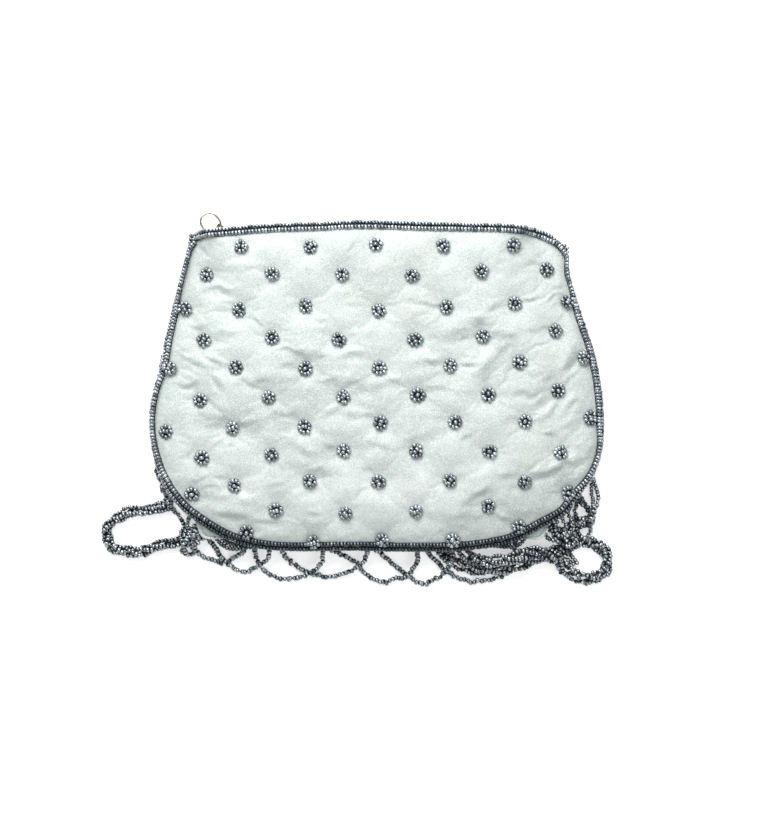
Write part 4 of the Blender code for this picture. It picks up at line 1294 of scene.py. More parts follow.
@dataclass(frozen=True)
class BeadShape:
    """A seed bead: a short tube with rounded shoulders and a hole, turned about X."""

    diameter: float = 0.0021
    length: float = 0.00142
    hole_share: float = 0.36
    shoulder_shade: float = 0.42
    sides: int = 8

    def form(self) -> tuple[Array, Array, Array, Array]:
        """The bead as a closed profile turned about the X axis.

        The profile has six (place along the axis, radius) points: hole, shoulder and
        waist at one end, then the same at the other, and it closes through the hole. A
        point's outward direction is the chord between its neighbours, turned a quarter.

        Returns:
            Vertices, their outward directions, their painted shade, full in the hole and part at the
            shoulders, and quads.
        """
        half = self.length / 2
        radius = self.diameter / 2
        profile = np.array(
            (
                (-0.8 * half, self.hole_share * radius), (-0.96 * half, 0.72 * radius),
                (-0.44 * half, radius), (0.44 * half, radius),
                (0.96 * half, 0.72 * radius), (0.8 * half, self.hole_share * radius),
            )
        )
        chord = np.roll(profile, -1, axis=0) - np.roll(profile, 1, axis=0)
        outward = unit(np.column_stack([-chord[:, 1], chord[:, 0]]))
        turn = np.linspace(0, 2 * math.pi, self.sides, endpoint=False)[:, None]

        def turned(flat: Array) -> Array:
            """Profile vectors carried round the axis."""
            x = np.broadcast_to(flat[:, 0][None], (self.sides, 6))
            y, z = flat[:, 1] * np.cos(turn), flat[:, 1] * np.sin(turn)
            return np.stack([x, y, z], axis=-1).reshape(-1, 3)

        j = np.arange(self.sides)[:, None]
        k = np.arange(6)[None, :]
        nxt = (j + 1) % self.sides
        quads = np.stack([j * 6 + k, j * 6 + (k + 1) % 6, nxt * 6 + (k + 1) % 6, nxt * 6 + k], axis=-1)
        # Painted shade: full in the hole, part at the shoulders where beads meet.
        shade = np.tile((1.0, self.shoulder_shade, 0.0, 0.0, self.shoulder_shade, 1.0), self.sides)
        return turned(profile), turned(outward), shade, quads.reshape(-1, 4)[:, ::-1]


@dataclass
class BeadString:
    """Beads in rows, gathered until they are made into one piece."""

    shape: BeadShape
    seed: int
    wobble: float = 0.00006
    tilt: float = 0.07
    size_spread: float = 0.045
    neighbours: int = 8
    closeness: float = 1.25
    tone: float = 0.5

    def __post_init__(self) -> None:
        """Start with no beads."""
        self.rng = np.random.default_rng(self.seed)
        self.centres: list[Array] = []
        self.axes: list[Array] = []

    def along(self, path: Array, pitch: float) -> None:
        """Thread beads on a path at one pitch, with a little unevenness.

        Args:
            path: The thread.
            pitch: Distance between beads' middles.
        """
        run = lengths_along(path)
        count = max(1, int(round(run[-1] / pitch)))
        spots = (np.arange(count) + 0.5) * run[-1] / count
        spots = spots + self.rng.normal(0.0, 0.02 * pitch, count)
        before, places, after = (
            np.stack([np.interp(spots + step, run, axis) for axis in path.T], axis=1)
            for step in (-pitch / 2, 0.0, pitch / 2)
        )
        self.add(places, after - before)

    def add(self, places: Array, axes: Array) -> None:
        """Add beads at places, each threaded along its axis."""
        count = len(places)
        places = places + self.rng.normal(0.0, self.wobble, (count, 3))
        axes = unit(axes) + self.rng.normal(0.0, self.tilt, (count, 3))
        self.centres.append(places)
        self.axes.append(unit(axes))

    def crowding(self, centre: Array, verts: Array, outward: Array) -> Array:
        """How much of each vertex's outlook the beads near it fill, from 0 to 1.

        A bead counts by the cosine between outwards and the way to it, times the square
        of its radius over its distance.

        Args:
            centre: The beads' middles.
            verts: Vertices, as beads by vertices by three.
            outward: Their outward directions.

        Returns:
            One value for each vertex.
        """
        gaps = np.linalg.norm(centre[:, None] - centre[None], axis=2)
        np.fill_diagonal(gaps, np.inf)
        count = min(self.neighbours, len(centre) - 1)
        filled = np.zeros(verts.shape[:2])
        for number in np.argsort(gaps, axis=1)[:, :count].T:
            way = centre[number][:, None] - verts
            far = np.linalg.norm(way, axis=2)
            facing = np.maximum((way * outward).sum(axis=2) / far, 0.0)
            filled += facing * np.minimum(self.shape.diameter / 2 / far, 1.0) ** 2
        return np.clip(filled * self.closeness, 0.0, 1.0)

    def piece(
        self, name: str, material: Material, replaces: Sequence[str] = (), slot: str | None = None,
        lowest: float | None = None, shaded: Callable[[Array], Array] | None = None,
    ) -> Object:
        """One mesh of every bead: the shape, turned to its axis, sized and placed.

        Args:
            name: The piece's name.
            material: The finish.
            replaces: CAD nodes that the piece stands for.
            slot: A material slot's name; not used.
            lowest: Height of the table, if beads may lie on it.
            shaded: How much painted shade beads at given places get.

        Returns:
            The piece.
        """
        centre = np.vstack(self.centres)
        axis = np.vstack(self.axes)
        count = len(centre)
        size = 1.0 + self.rng.normal(0.0, self.size_spread, (count, 1))
        if lowest is not None:
            radius = self.shape.diameter / 2
            centre[:, 2] = np.maximum(centre[:, 2], lowest + radius * size[:, 0])
        helper = np.where(np.abs(axis[:, 2:3]) > 0.9, ((1.0, 0.0, 0.0),), ((0.0, 0.0, 1.0),))
        side = unit(np.cross(helper, axis))
        rise = np.cross(axis, side)
        spin = self.rng.uniform(0.0, 2 * math.pi, (count, 1))
        across = side * np.cos(spin) + rise * np.sin(spin)
        upright = rise * np.cos(spin) - side * np.sin(spin)
        points, outward, shade, quads = self.shape.form()

        def placed(local: Array) -> Array:
            """Vectors of one bead turned to every bead's own axis."""
            along = local[None, :, :1] * axis[:, None]
            return along + local[None, :, 1:2] * across[:, None] + local[None, :, 2:] * upright[:, None]

        verts = centre[:, None] + placed(points) * size[:, :, None]
        # Painted shade: how crowded each vertex is by its neighbours, or the shape's own painted shade in
        # the hole and at the shoulders, whichever is more.
        dim = np.maximum(self.crowding(centre, verts, placed(outward)), shade[None])
        faces = (np.arange(count)[:, None, None] * len(points) + quads[None]).reshape(-1, 4)
        tint = self.rng.normal(self.tone, 0.26, count)
        # Each bead's own random tone; beads in painted shade get a darker tone and more painted shade.
        if shaded is not None:
            darker = shaded(centre)
            tint = tint - darker
            dim = np.minimum(dim + darker[:, None], 1.0)
        tint = np.clip(tint, 0.0, 1.0)
        return make_piece(
            name, (verts.reshape(-1, 3), faces), material, replaces,
            {"tint": np.repeat(tint, len(points)), "dim": dim.reshape(-1)},
        )


# How far apart the border's two rows lie up each side of the bag, seen from the front:
# the share of the way up from the middle, and the share of their full distance

LEFT_ROW_SHARES: Rows = (
    (-0.7, 1.0), (-0.6, 0.9), (-0.5, 0.62), (-0.38, 0.34), (-0.2, 0.28), (-0.02, 0.34),
    (0.1, 0.5), (0.22, 0.62), (0.46, 0.62), (0.54, 0.24), (0.62, 0.06), (0.84, 0.08), (0.9, 0.8),
)
RIGHT_ROW_SHARES: Rows = (
    (-0.7, 1.0), (-0.6, 0.74), (-0.5, 0.3), (-0.42, 0.12), (-0.34, 0.36), (-0.24, 0.7), (0.0, 0.66),
    (0.2, 0.56), (0.46, 0.54), (0.54, 0.2), (0.6, 0.06), (0.8, 0.06), (0.9, 0.62), (0.96, 1.0),
)


@dataclass
class BeadBorder:
    """Two rows of beads round each panel, with the threads that hold them."""

    plan: BagPlan
    finishes: Finishes
    bead: BeadShape = BeadShape()
    pitch: float = 0.00149
    row_pitch: float = 0.0021
    touching: float = 0.002
    seam_offset: float = 0.00135
    tucked_offset: float = 0.00106
    clearance: float = 0.0003
    thread: float = 0.0003
    line_radius: float = 0.00021
    # The dark line's radius by height share: a thin thread at the top, widened lower down into a painted
    # shadow between satin and beads.
    line_shares: Row = (-0.9, -0.55, 0.8, 0.93)
    line_radii: Row = (0.00046, 0.0004, 0.0004, 0.00021)
    foot_darker: float = 0.44
    stations: int = 1200
    sway: float = 0.00018
    knot_pixels: Rows = ((563.0, 245.0), (567.5, 249.0), (567.0, 254.0), (565.0, 257.0))

    def spacing(self, along: Array) -> Array:
        """How far apart the two rows lie, as a share of their full distance.

        Args:
            along: Places along the outline.

        Returns:
            Shares from 0 to 1.
        """
        place = self.plan.edge(along) / self.plan.half
        left = np.interp(place[:, 1], *np.array(LEFT_ROW_SHARES).T)
        right = np.interp(place[:, 1], *np.array(RIGHT_ROW_SHARES).T)
        own = np.where(place[:, 0] < 0, left, right)
        sides = ease(0.74, 0.8, np.abs(place[:, 0]))
        return 1.0 + (own - 1.0) * sides

    def drawn_in(self, along: Array, amount: Array | float) -> Array:
        """Points drawn in from the outer edge, with the amount measured square to it.

        The plan draws points towards the middle, so the amount is divided by how squarely
        that way meets the edge.

        Args:
            along: Places along the outline.
            amount: How far in.

        Returns:
            The points.
        """
        plan = self.plan
        step = 1e-4
        run = plan.edge((along + step) % 1.0) - plan.edge((along - step) % 1.0)
        outward = unit(np.column_stack([run[:, 1], -run[:, 0]]))
        square = np.abs((outward * plan.edge(along) / plan.half).sum(axis=1))
        return plan.inset(along, amount / np.clip(square, 0.8, 1.25))

    def rows(self, side: Side) -> tuple[Array, Array, Array]:
        """The thread lines of the seam row, the face row, and the dark line beside them, a thread widened
        lower down into a painted shadow.

        Args:
            side: The face of the bag.

        Returns:
            Three closed paths.
        """
        plan = self.plan
        along = np.linspace(0.0, 1.0, self.stations, endpoint=False)
        gape = plan.gape(along)
        radius = self.bead.diameter / 2
        out = plan.slip(along, rows=True) if side is Side.BACK else np.zeros(self.stations)
        gap = self.spacing(along)
        run = along * plan.length
        level = np.full(self.stations, 0.5 + side.value)
        wave = self.sway * drift(run, level, 0.007, 1.0, 41) * np.sin(math.pi * along)
        apart = self.row_pitch * gap
        seam_rise = self.tucked_offset + (self.seam_offset - self.tucked_offset) * gap
        seam_rise = seam_rise + plan.mouth_gape * gape
        face_inset = radius + apart + wave
        inward = 1.0 - (face_inset - plan.satin_inset) / (plan.depth / 2)
        skin = plan.height(side, inward, gape)
        lean = np.sqrt(np.maximum(self.touching**2 - apart**2, 0.0))
        rest = side.value * (skin - plan.rim_height) + self.clearance + radius
        face_rise = np.maximum(rest, seam_rise + lean)
        line_inset = face_inset + radius * 0.9
        deeper = 1.0 - (line_inset - plan.satin_inset) / (plan.depth / 2)
        line_rise = side.value * (plan.height(side, deeper, gape) - plan.rim_height) + self.line_radius
        ways = ((radius, seam_rise), (face_inset, face_rise), (line_inset, line_rise))
        return tuple(
            np.column_stack([self.drawn_in(along, inset - out), plan.rim_height + side.value * rise])
            for inset, rise in ways
        )

    def foot_shade(self, places: Array) -> Array:
        """Painted shade on the beads along the foot, which turns away from the light."""
        return self.foot_darker * (1.0 - ease(-0.9, -0.55, places[:, 1] / self.plan.half[1]))

    def knot(self) -> Array:
        """The thread of a few beads that stand out of the right side, over the strap's end."""
        places = on_plan(self.knot_pixels)
        level = np.full(len(places), self.plan.rim_height + self.seam_offset)
        return smooth_through(np.column_stack([places, level]), 40)

    def build(self) -> None:
        """Both faces: beads, the threads through them, and the dark line, part thread and part painted
        shadow.
        """
        for side in Side:
            seam, face, line = self.rows(side)
            beads = BeadString(self.bead, seed=101 + side.value)
            for path in (seam, face):
                beads.along(np.vstack([path, path[:1]]), self.pitch)
            if side is Side.FRONT:
                beads.along(self.knot(), self.pitch)
            beads.piece(
                f"border_beads_{side.word}", self.finishes.border,
                [f"{side.word}_border"], "border_beads", shaded=self.foot_shade,
            )
            broad = np.interp(line[:, 1] / self.plan.half[1], self.line_shares, self.line_radii)
            forms = [
                tube(path[::2], radius, 6, closed=True)
                for path, radius in ((seam, self.thread), (face, self.thread), (line, broad[::2]))
            ]
            make_piece(
                f"border_threads_{side.word}", joined(forms), self.finishes.thread
            )


@dataclass
class Flowers:
    """The bead flowers: a ring of beads round one or two, on dark thread, on the front."""

    plan: BagPlan
    finishes: Finishes
    satin: SatinPanels
    bead: BeadShape = BeadShape(diameter=0.00224, length=0.00158)
    ring_radius: float = 0.00236
    thread: float = 0.00032
    lift: float = 0.0001
    border_start: float = 0.004
    border_reach: float = 0.0078
    border_lift: float = 0.0015
    centre_shift: float = 0.00076
    centre_lift: float = 0.00075
    unevenness: float = 0.00008
    single_share: float = 0.3
    seed: int = 17

    def seat(self, x: float, y: float) -> tuple[Array, Array, Array]:
        """Where a flower sits on the satin; near the edge it rides up over the border.

        Args:
            x: Place along X.
            y: Place along Y.

        Returns:
            Middle, direction across and direction up the flower.
        """
        plan = self.plan
        step = self.ring_radius
        xs = np.array((x, x + step, x - step, x, x))
        ys = np.array((y, y, y, y + step, y - step))
        z = self.satin.heights(xs, ys)
        gap = np.linalg.norm(plan.rim - (x, y), axis=1).min()
        over = 1.0 - ease(self.border_start, self.border_reach, gap)
        across = unit(np.array((2 * step, 0.0, float(z[1] - z[2]))))
        upward = unit(np.array((0.0, 2 * step, float(z[3] - z[4]))))
        low = float(z[0]) + self.border_lift * over
        middle = np.array((x, y, low + self.lift + self.bead.diameter / 2))
        return middle, across, upward

    def build(self) -> None:
        """Every flower: ring beads threaded round the ring, centre beads, and stitches."""
        rng = np.random.default_rng(self.seed)
        beads = BeadString(self.bead, seed=self.seed + 1, wobble=0.0001, tilt=0.16, closeness=0.95)
        threads = []
        for x, y in flower_places():
            middle, across, upward = self.seat(float(x), float(y))
            count = int(rng.choice((8, 9, 9)))
            start = rng.uniform(0, 2 * math.pi)
            turn = start + np.arange(count) * 2 * math.pi / count
            turn = turn + rng.normal(0.0, 0.06, count)
            radius = self.ring_radius * rng.uniform(0.93, 1.05) + rng.normal(0, self.unevenness, count)
            oval = 1.0 + rng.uniform(-0.07, 0.07)
            ring = middle + (
                np.outer(np.cos(turn) * radius * oval, across)
                + np.outer(np.sin(turn) * radius / oval, upward)
            )
            axes = np.outer(-np.sin(turn), across) + np.outer(np.cos(turn), upward)
            beads.add(ring, axes)
            lean = rng.uniform(0, 2 * math.pi)
            aim = math.cos(lean) * across + math.sin(lean) * upward
            normal = np.cross(across, upward)
            if rng.random() < self.single_share:
                centre = np.array([middle])
            else:
                centre = np.stack([middle - aim * self.centre_shift, middle + aim * self.centre_shift])
            beads.add(centre + normal * self.centre_lift, np.repeat(aim[None], len(centre), axis=0))
            base = middle - normal * (self.bead.diameter / 2 - self.thread)
            loop = np.linspace(0, 2 * math.pi, 14, endpoint=False)
            low = base + (
                np.outer(np.cos(loop), across) + np.outer(np.sin(loop), upward)
            ) * (self.ring_radius * 0.72)
            threads.append(tube(low, self.thread * 1.5, 5, closed=True))
            threads.append(tube(ring, self.thread, 5, closed=True))
            for angle in (lean, lean + 1.2):
                reach = (math.cos(angle) * across + math.sin(angle) * upward) * self.ring_radius * 0.8
                threads.append(tube(np.stack([base - reach, base, base + reach]), self.thread * 1.6, 5))
        beads.piece("flower_beads", self.finishes.flower, slot="border_beads")
        make_piece("flower_threads", joined(threads), self.finishes.thread)


# Cords: the strap and the fringe. Every route is written as shares of the bag's half
# width, its half height and the height of its rim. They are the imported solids' routes, but
# for the first two scallops of the fringe, which follow the photograph more closely

STRAP_ROUTE_SHARES: Rows = (
    (-0.804, 0.69, 0.3), (-0.941, 0.067, 0.27), (-0.953, -0.492, 0.27), (-0.945, -0.643, 0.27),
    (-1.004, -0.728, 0.27), (-1.116, -0.777, 0.27), (-1.189, -0.858, 0.27), (-1.179, -0.958, 0.27),
    (-1.101, -1.003, 0.27), (-0.912, -0.948, 0.27), (-0.702, -0.878, 0.27), (-0.517, -0.925, 0.27),
    (0.127, -0.938, 0.27), (0.253, -0.968, 0.27), (0.341, -1.062, 0.29), (0.434, -1.113, 0.28),
    (0.526, -1.11, 0.4), (0.595, -1.094, 0.55), (0.716, -1.039, 0.32), (0.84, -0.968, 0.27),
    (0.936, -0.941, 0.27), (1.014, -1.012, 0.27), (1.004, -1.129, 0.27), (0.936, -1.169, 0.29),
    (0.858, -1.133, 0.4), (0.77, -1.023, 0.84), (0.682, -1.005, 0.8), (0.586, -1.04, 0.96),
    (0.463, -1.056, 0.73), (0.402, -1.026, 0.6), (0.368, -0.968, 0.38), (0.366, -0.901, 0.29),
    (0.402, -0.847, 0.28), (0.463, -0.838, 0.27), (0.744, -0.802, 0.27), (0.867, -0.807, 0.27),
    (0.955, -0.711, 0.27), (0.967, -0.402, 0.27), (0.906, 0.295, 0.27), (0.819, 0.643, 0.3),
)

# Strings pulled out of the strap, as photo pixels: where, how far round it, the first
# string's number, and how far across and down for it and the strings after it

STRING_PULLS: tuple[tuple[float, float, float, int, Rows], ...] = (
    (153, 498, 12, 0, ((9, 5), (9, 5))), (154, 498, 12, 2, ((10, 6), (9, 5))),
    (600, 482, 22, 0, ((-19, 0), (-17, 0), (-20, 0))), (600, 484, 24, 3, ((-5, 0),)),
    (598, 500, 9, 0, ((-8, -2), (-6, -2), (-9, -2))), (588, 511, 11, 0, ((8, 8), (7, 9), (9, 7), (4, 10))),
    (560, 520, 13, 0, ((2, 14), (4, 17), (0, 9), (2, 12))),
)

# Loose strings of the strap, left and right: photo pixels across and down, and the height
# as a share of the rim's

LOOSE_STRING_ROUTES: tuple[Rows, ...] = (
    ((162, 486, 0.64), (165, 497, 0.3), (169, 505, 0.62), (174, 513, 0.13), (181, 522, 0.13),
     (184, 531, 0.3), (184, 540, 0.6), (188, 548, 0.58)),
    ((199, 508, 0.62), (190, 515, 0.56), (186, 524, 0.34), (190, 534, 0.56), (185, 543, 0.66),
     (184, 551, 0.5), (189, 556, 0.16), (194, 551, 0.44), (190, 541, 0.74)),
    ((209, 516, 0.62), (198, 523, 0.58), (191, 531, 0.5), (186, 538, 0.62), (191, 546, 0.66),
     (198, 543, 0.6), (197, 535, 0.6)),
    ((182, 529, 0.13), (179, 537, 0.44), (183, 545, 0.7), (181, 552, 0.4), (187, 558, 0.13)),
    ((584, 454, 0.62), (590, 468, 0.56), (593, 484, 0.16), (594, 498, 0.13), (594, 510, 0.6),
     (591, 522, 0.62), (592, 532, 0.16), (588, 540, 0.5)),
    ((576, 476, 0.64), (579, 489, 0.6), (578, 500, 0.5), (577, 511, 0.14), (577, 521, 0.14),
     (578, 531, 0.4), (583, 538, 0.58), (590, 541, 0.64)),
    ((538, 510, 0.62), (547, 520, 0.6), (552, 529, 0.6), (556, 539, 0.5), (563, 545, 0.62),
     (571, 547, 0.66), (577, 541, 0.62), (574, 532, 0.62)),
    ((530, 515, 0.62), (541, 526, 0.6), (546, 535, 0.55), (552, 541, 0.62), (561, 537, 0.56),
     (568, 541, 0.64), (572, 549, 0.58), (567, 555, 0.14)),
    ((560, 498, 0.62), (566, 509, 0.62), (563, 520, 0.6), (568, 529, 0.62), (562, 537, 0.66),
     (555, 530, 0.62), (559, 520, 0.6)),
    ((564, 494, 0.62), (572, 504, 0.62), (569, 514, 0.5), (573, 524, 0.62), (569, 533, 0.66),
     (563, 528, 0.7)),
    ((560, 548, 0.62), (566, 554, 0.3), (573, 558, 0.13), (580, 565, 0.13)),
    ((558, 552, 0.6), (564, 559, 0.3), (571, 562, 0.13), (577, 566, 0.13)),
)

# The thread bindings that gather the strap's ends and sew them under the rim

LEFT_BINDING_SHARES: Rows = (
    (-0.802, 0.698, 0.3), (-0.795, 0.729, 0.32), (-0.786, 0.775, 0.41), (-0.776, 0.812, 0.46),
)
RIGHT_BINDING_SHARES: Rows = (
    (0.817, 0.651, 0.3), (0.809, 0.682, 0.32), (0.797, 0.731, 0.41), (0.787, 0.767, 0.46),
)

# The scallops of beads under the foot of the bag, left to right

FRINGE_ROUTE_SHARES: tuple[Rows, ...] = (
    ((-0.758, -0.86, 0.64), (-0.74, -0.92, 0.6), (-0.718, -0.963, 0.36), (-0.701, -1.005, 0.22),
     (-0.679, -1.047, 0.36), (-0.652, -1.077, 0.36), (-0.626, -1.107, 0.15), (-0.591, -1.126, 0.13),
     (-0.556, -1.116, 0.2), (-0.529, -1.095, 0.34), (-0.502, -1.071, 0.45), (-0.468, -1.027, 0.51),
     (-0.474, -0.971, 0.64)),
    ((-0.789, -0.838, 0.67), (-0.806, -0.9, 0.7), (-0.808, -0.969, 0.45), (-0.78, -1.017, 0.14),
     (-0.749, -1.047, 0.13), (-0.718, -1.062, 0.13), (-0.688, -1.068, 0.13), (-0.657, -1.056, 0.13),
     (-0.63, -1.035, 0.24), (-0.604, -1.017, 0.4), (-0.584, -0.996, 0.55), (-0.6, -0.955, 0.6)),
    ((-0.538, -0.973, 0.64), (-0.53, -1.047, 0.16), (-0.507, -1.111, 0.13), (-0.467, -1.149, 0.12),
     (-0.414, -1.168, 0.13), (-0.344, -1.155, 0.28), (-0.283, -1.122, 0.4), (-0.244, -1.07, 0.46),
     (-0.236, -0.989, 0.64)),
    ((-0.423, -0.979, 0.64), (-0.384, -1.059, 0.24), (-0.344, -1.101, 0.13), (-0.291, -1.137, 0.13),
     (-0.221, -1.155, 0.13), (-0.156, -1.143, 0.22), (-0.095, -1.101, 0.4), (-0.051, -1.059, 0.46),
     (-0.043, -0.989, 0.64)),
    ((-0.2, -0.987, 0.64), (-0.151, -1.023, 0.42), (-0.107, -1.052, 0.14), (-0.081, -1.089, 0.13),
     (-0.046, -1.137, 0.13), (-0.007, -1.18, 0.13), (0.037, -1.192, 0.13), (0.081, -1.168, 0.26),
     (0.134, -1.155, 0.38), (0.156, -1.113, 0.4), (0.179, -1.059, 0.46), (0.179, -0.992, 0.64)),
    ((-0.008, -0.989, 0.64), (0.033, -1.026, 0.36), (0.059, -1.064, 0.14), (0.103, -1.113, 0.13),
     (0.142, -1.155, 0.13), (0.182, -1.192, 0.13), (0.217, -1.197, 0.14), (0.256, -1.173, 0.27),
     (0.291, -1.143, 0.42), (0.317, -1.089, 0.67), (0.336, -1.032, 0.77), (0.336, -0.992, 0.66)),
    ((0.219, -0.992, 0.64), (0.252, -1.047, 0.2), (0.283, -1.089, 0.13), (0.312, -1.126, 0.13),
     (0.358, -1.163, 0.13), (0.414, -1.185, 0.13), (0.498, -1.174, 0.12), (0.57, -1.139, 0.12),
     (0.606, -1.086, 0.12), (0.616, -1.032, 0.13), (0.614, -0.979, 0.31), (0.612, -0.93, 0.62)),
)


TABLE_GAP = 0.0001
STRING_THREAD = 0.00032


def off_table(path: Array, diameter: float) -> Array:
    """A path raised where a cord of this diameter would cut into the table."""
    path[:, 2] = np.maximum(path[:, 2], diameter / 2 + TABLE_GAP)
    return path


def cord_path(plan: BagPlan, shares: Rows, count: int, diameter: float) -> Array:
    """Even points along a cord's route, none so low that the cord cuts into the table."""
    scale = (plan.width / 2, plan.depth / 2, plan.rim_height)
    return off_table(smooth_through(np.array(shares) * scale, count), diameter)


@dataclass
class Strap:
    """The strap: four loosely twisted strings of beads, bound and sewn at both ends."""

    plan: BagPlan
    finishes: Finishes
    diameter: float = 0.0056
    bead: BeadShape = BeadShape(diameter=0.00218, length=0.0015)
    pitch: float = 0.00156
    strings: int = 4
    string_radius: float = 0.00188
    lay: float = 0.034
    binding_diameter: float = 0.0044
    wrap_pitch: float = 0.00055
    wrap_ridge: float = 0.00011
    wrap_sunk: float = 0.00022
    wrap_end: float = 0.0009
    end_reach: float = 0.01
    drift_length: float = 0.021
    own_drift_length: float = 0.008
    swell_length: float = 0.035
    loose_reach: float = 0.0036
    shortest_stretch: int = 8
    seed: int = 53

    def string(self, path: Array, number: int) -> Array:
        """One string's path: a loose helix about the strap's middle line.

        Its angle grows evenly and drifts a little. Its distance from the middle swells
        and shrinks slowly, and the helix is a little wider than high.

        Args:
            path: The strap's middle line.
            number: Which string.

        Returns:
            The string's path.
        """
        tangent, side, rise = frames_along(path)
        run = lengths_along(path)
        still = np.zeros_like(run)
        sway = drift(run, still, self.drift_length, 1.0, self.seed)
        own = drift(run, still + number, self.own_drift_length, 1.0, self.seed + 3 + number)
        angle = 2 * math.pi * run / self.lay + number * 2 * math.pi / self.strings
        angle = angle + 0.9 * sway + 0.55 * own
        loose = 1.0 + 0.2 * own + 0.12 * drift(run, still, self.swell_length, 1.0, self.seed + 9)
        ends = ease(0.0, self.end_reach, run) * ease(0.0, self.end_reach, run[-1] - run)
        radius = self.string_radius * (0.62 + 0.38 * ends) * loose
        wide = 1.08
        offset = side * (np.cos(angle) * radius * wide)[:, None]
        offset = offset + rise * (np.sin(angle) * radius / wide)[:, None]
        return path + offset + self.pulled(path, number)

    def pulled(self, path: Array, number: int) -> Array:
        """How far one string is pulled out of the strap: a soft bump about each place.

        Args:
            path: The strap's middle line.
            number: Which string.

        Returns:
            Offsets of the path's points.
        """
        offset = np.zeros_like(path)
        for column, row, reach, first, pulls in STRING_PULLS:
            if not first <= number < first + len(pulls):
                continue
            across, down = pulls[number - first]
            away = np.linalg.norm(path[:, :2] - on_plan((column, row)), axis=1) / (reach * PIXEL_SIZE)
            offset[:, :2] += np.exp(-(away**2))[:, None] * (across * PIXEL_SIZE, -down * PIXEL_SIZE)
        return offset

    def binding(self, name: str, shares: Rows) -> Object:
        """Thread wound tightly round one end: a tube with a ridge for each turn.

        Args:
            name: The name of the piece and of its node.
            shares: Its route.

        Returns:
            The binding.
        """
        path = cord_path(self.plan, shares, 120, self.binding_diameter)
        run = lengths_along(path)
        ridge = self.wrap_ridge * np.abs(np.sin(math.pi * run / self.wrap_pitch))
        swell = 1.0 - 0.1 * np.cos(2 * math.pi * run / run[-1])
        ends = 0.8 + 0.2 * ease(0.0, self.wrap_end, run) * ease(0.0, self.wrap_end, run[-1] - run)
        radius = (self.binding_diameter / 2 - self.wrap_sunk) * swell * ends + ridge
        return make_piece(name, tube(path, radius, 20), self.finishes.thread, [name])

    def build(self) -> None:
        """The strings' beads and threads, and both bindings."""
        path = cord_path(self.plan, STRAP_ROUTE_SHARES, 3000, self.diameter)
        beads = BeadString(self.bead, seed=self.seed, wobble=0.00018, tilt=0.2)
        loose = BeadString(self.bead, seed=self.seed + 1, wobble=0.00018, tilt=0.2)
        threads = []
        for number in range(self.strings):
            string = off_table(self.string(path, number), self.bead.diameter)
            far = np.linalg.norm(string - path, axis=1) > self.loose_reach
            cuts = np.flatnonzero(far[1:] != far[:-1]) + 1
            for stretch in np.split(np.arange(len(string)), cuts):
                if len(stretch) >= self.shortest_stretch:
                    group = loose if far[stretch[0]] else beads
                    group.along(string[stretch], self.pitch)
            threads.append(tube(string[::7], STRING_THREAD, 5))
        strap = beads.piece("strap_beads", self.finishes.rope, ["strap_rope"], "strap_beads", lowest=0.0)
        for route in LOOSE_STRING_ROUTES:
            places = np.array(route)
            level = places[:, 2] * self.plan.rim_height
            string = smooth_through(np.column_stack([on_plan(places[:, :2]), level]), 200)
            string = off_table(string, self.bead.diameter)
            loose.along(string, self.pitch)
            threads.append(tube(string[::5], STRING_THREAD, 5))
        parted = loose.piece("strap_loose_beads", self.finishes.rope, slot="strap_beads", lowest=0.0)
        thread = make_piece("strap_threads", joined(threads), self.finishes.thread)
        ends = [
            self.binding("strap_binding_left", LEFT_BINDING_SHARES),
            self.binding("strap_binding_right", RIGHT_BINDING_SHARES),
        ]


@dataclass
class Fringe:
    """The fringe: single strings of beads, each looped from the foot and back to it."""

    plan: BagPlan
    finishes: Finishes
    diameter: float = 0.0023
    bead: BeadShape = BeadShape(diameter=0.00252, length=0.00156)
    pitch: float = 0.00156
    shortest_cord: float = 0.03
    seed: int = 71

    def build(self) -> None:
        """Each scallop's beads and thread."""
        for number, shares in enumerate(FRINGE_ROUTE_SHARES, start=1):
            path = cord_path(self.plan, shares, 400, self.diameter)
            beads = BeadString(self.bead, seed=self.seed + number, wobble=0.00024, tilt=0.26)
            beads.along(path, self.pitch)
            piece = beads.piece(
                f"fringe_beads_{number}", self.finishes.rope, [f"fringe_scallop_{number}"],
                "fringe_beads", lowest=0.0,
            )
            thread = make_piece(
                f"fringe_thread_{number}", tube(path[::4], STRING_THREAD, 5), self.finishes.thread,
            )
            length = float(lengths_along(path)[-1])
            if length < self.shortest_cord:
                continue


# Zip


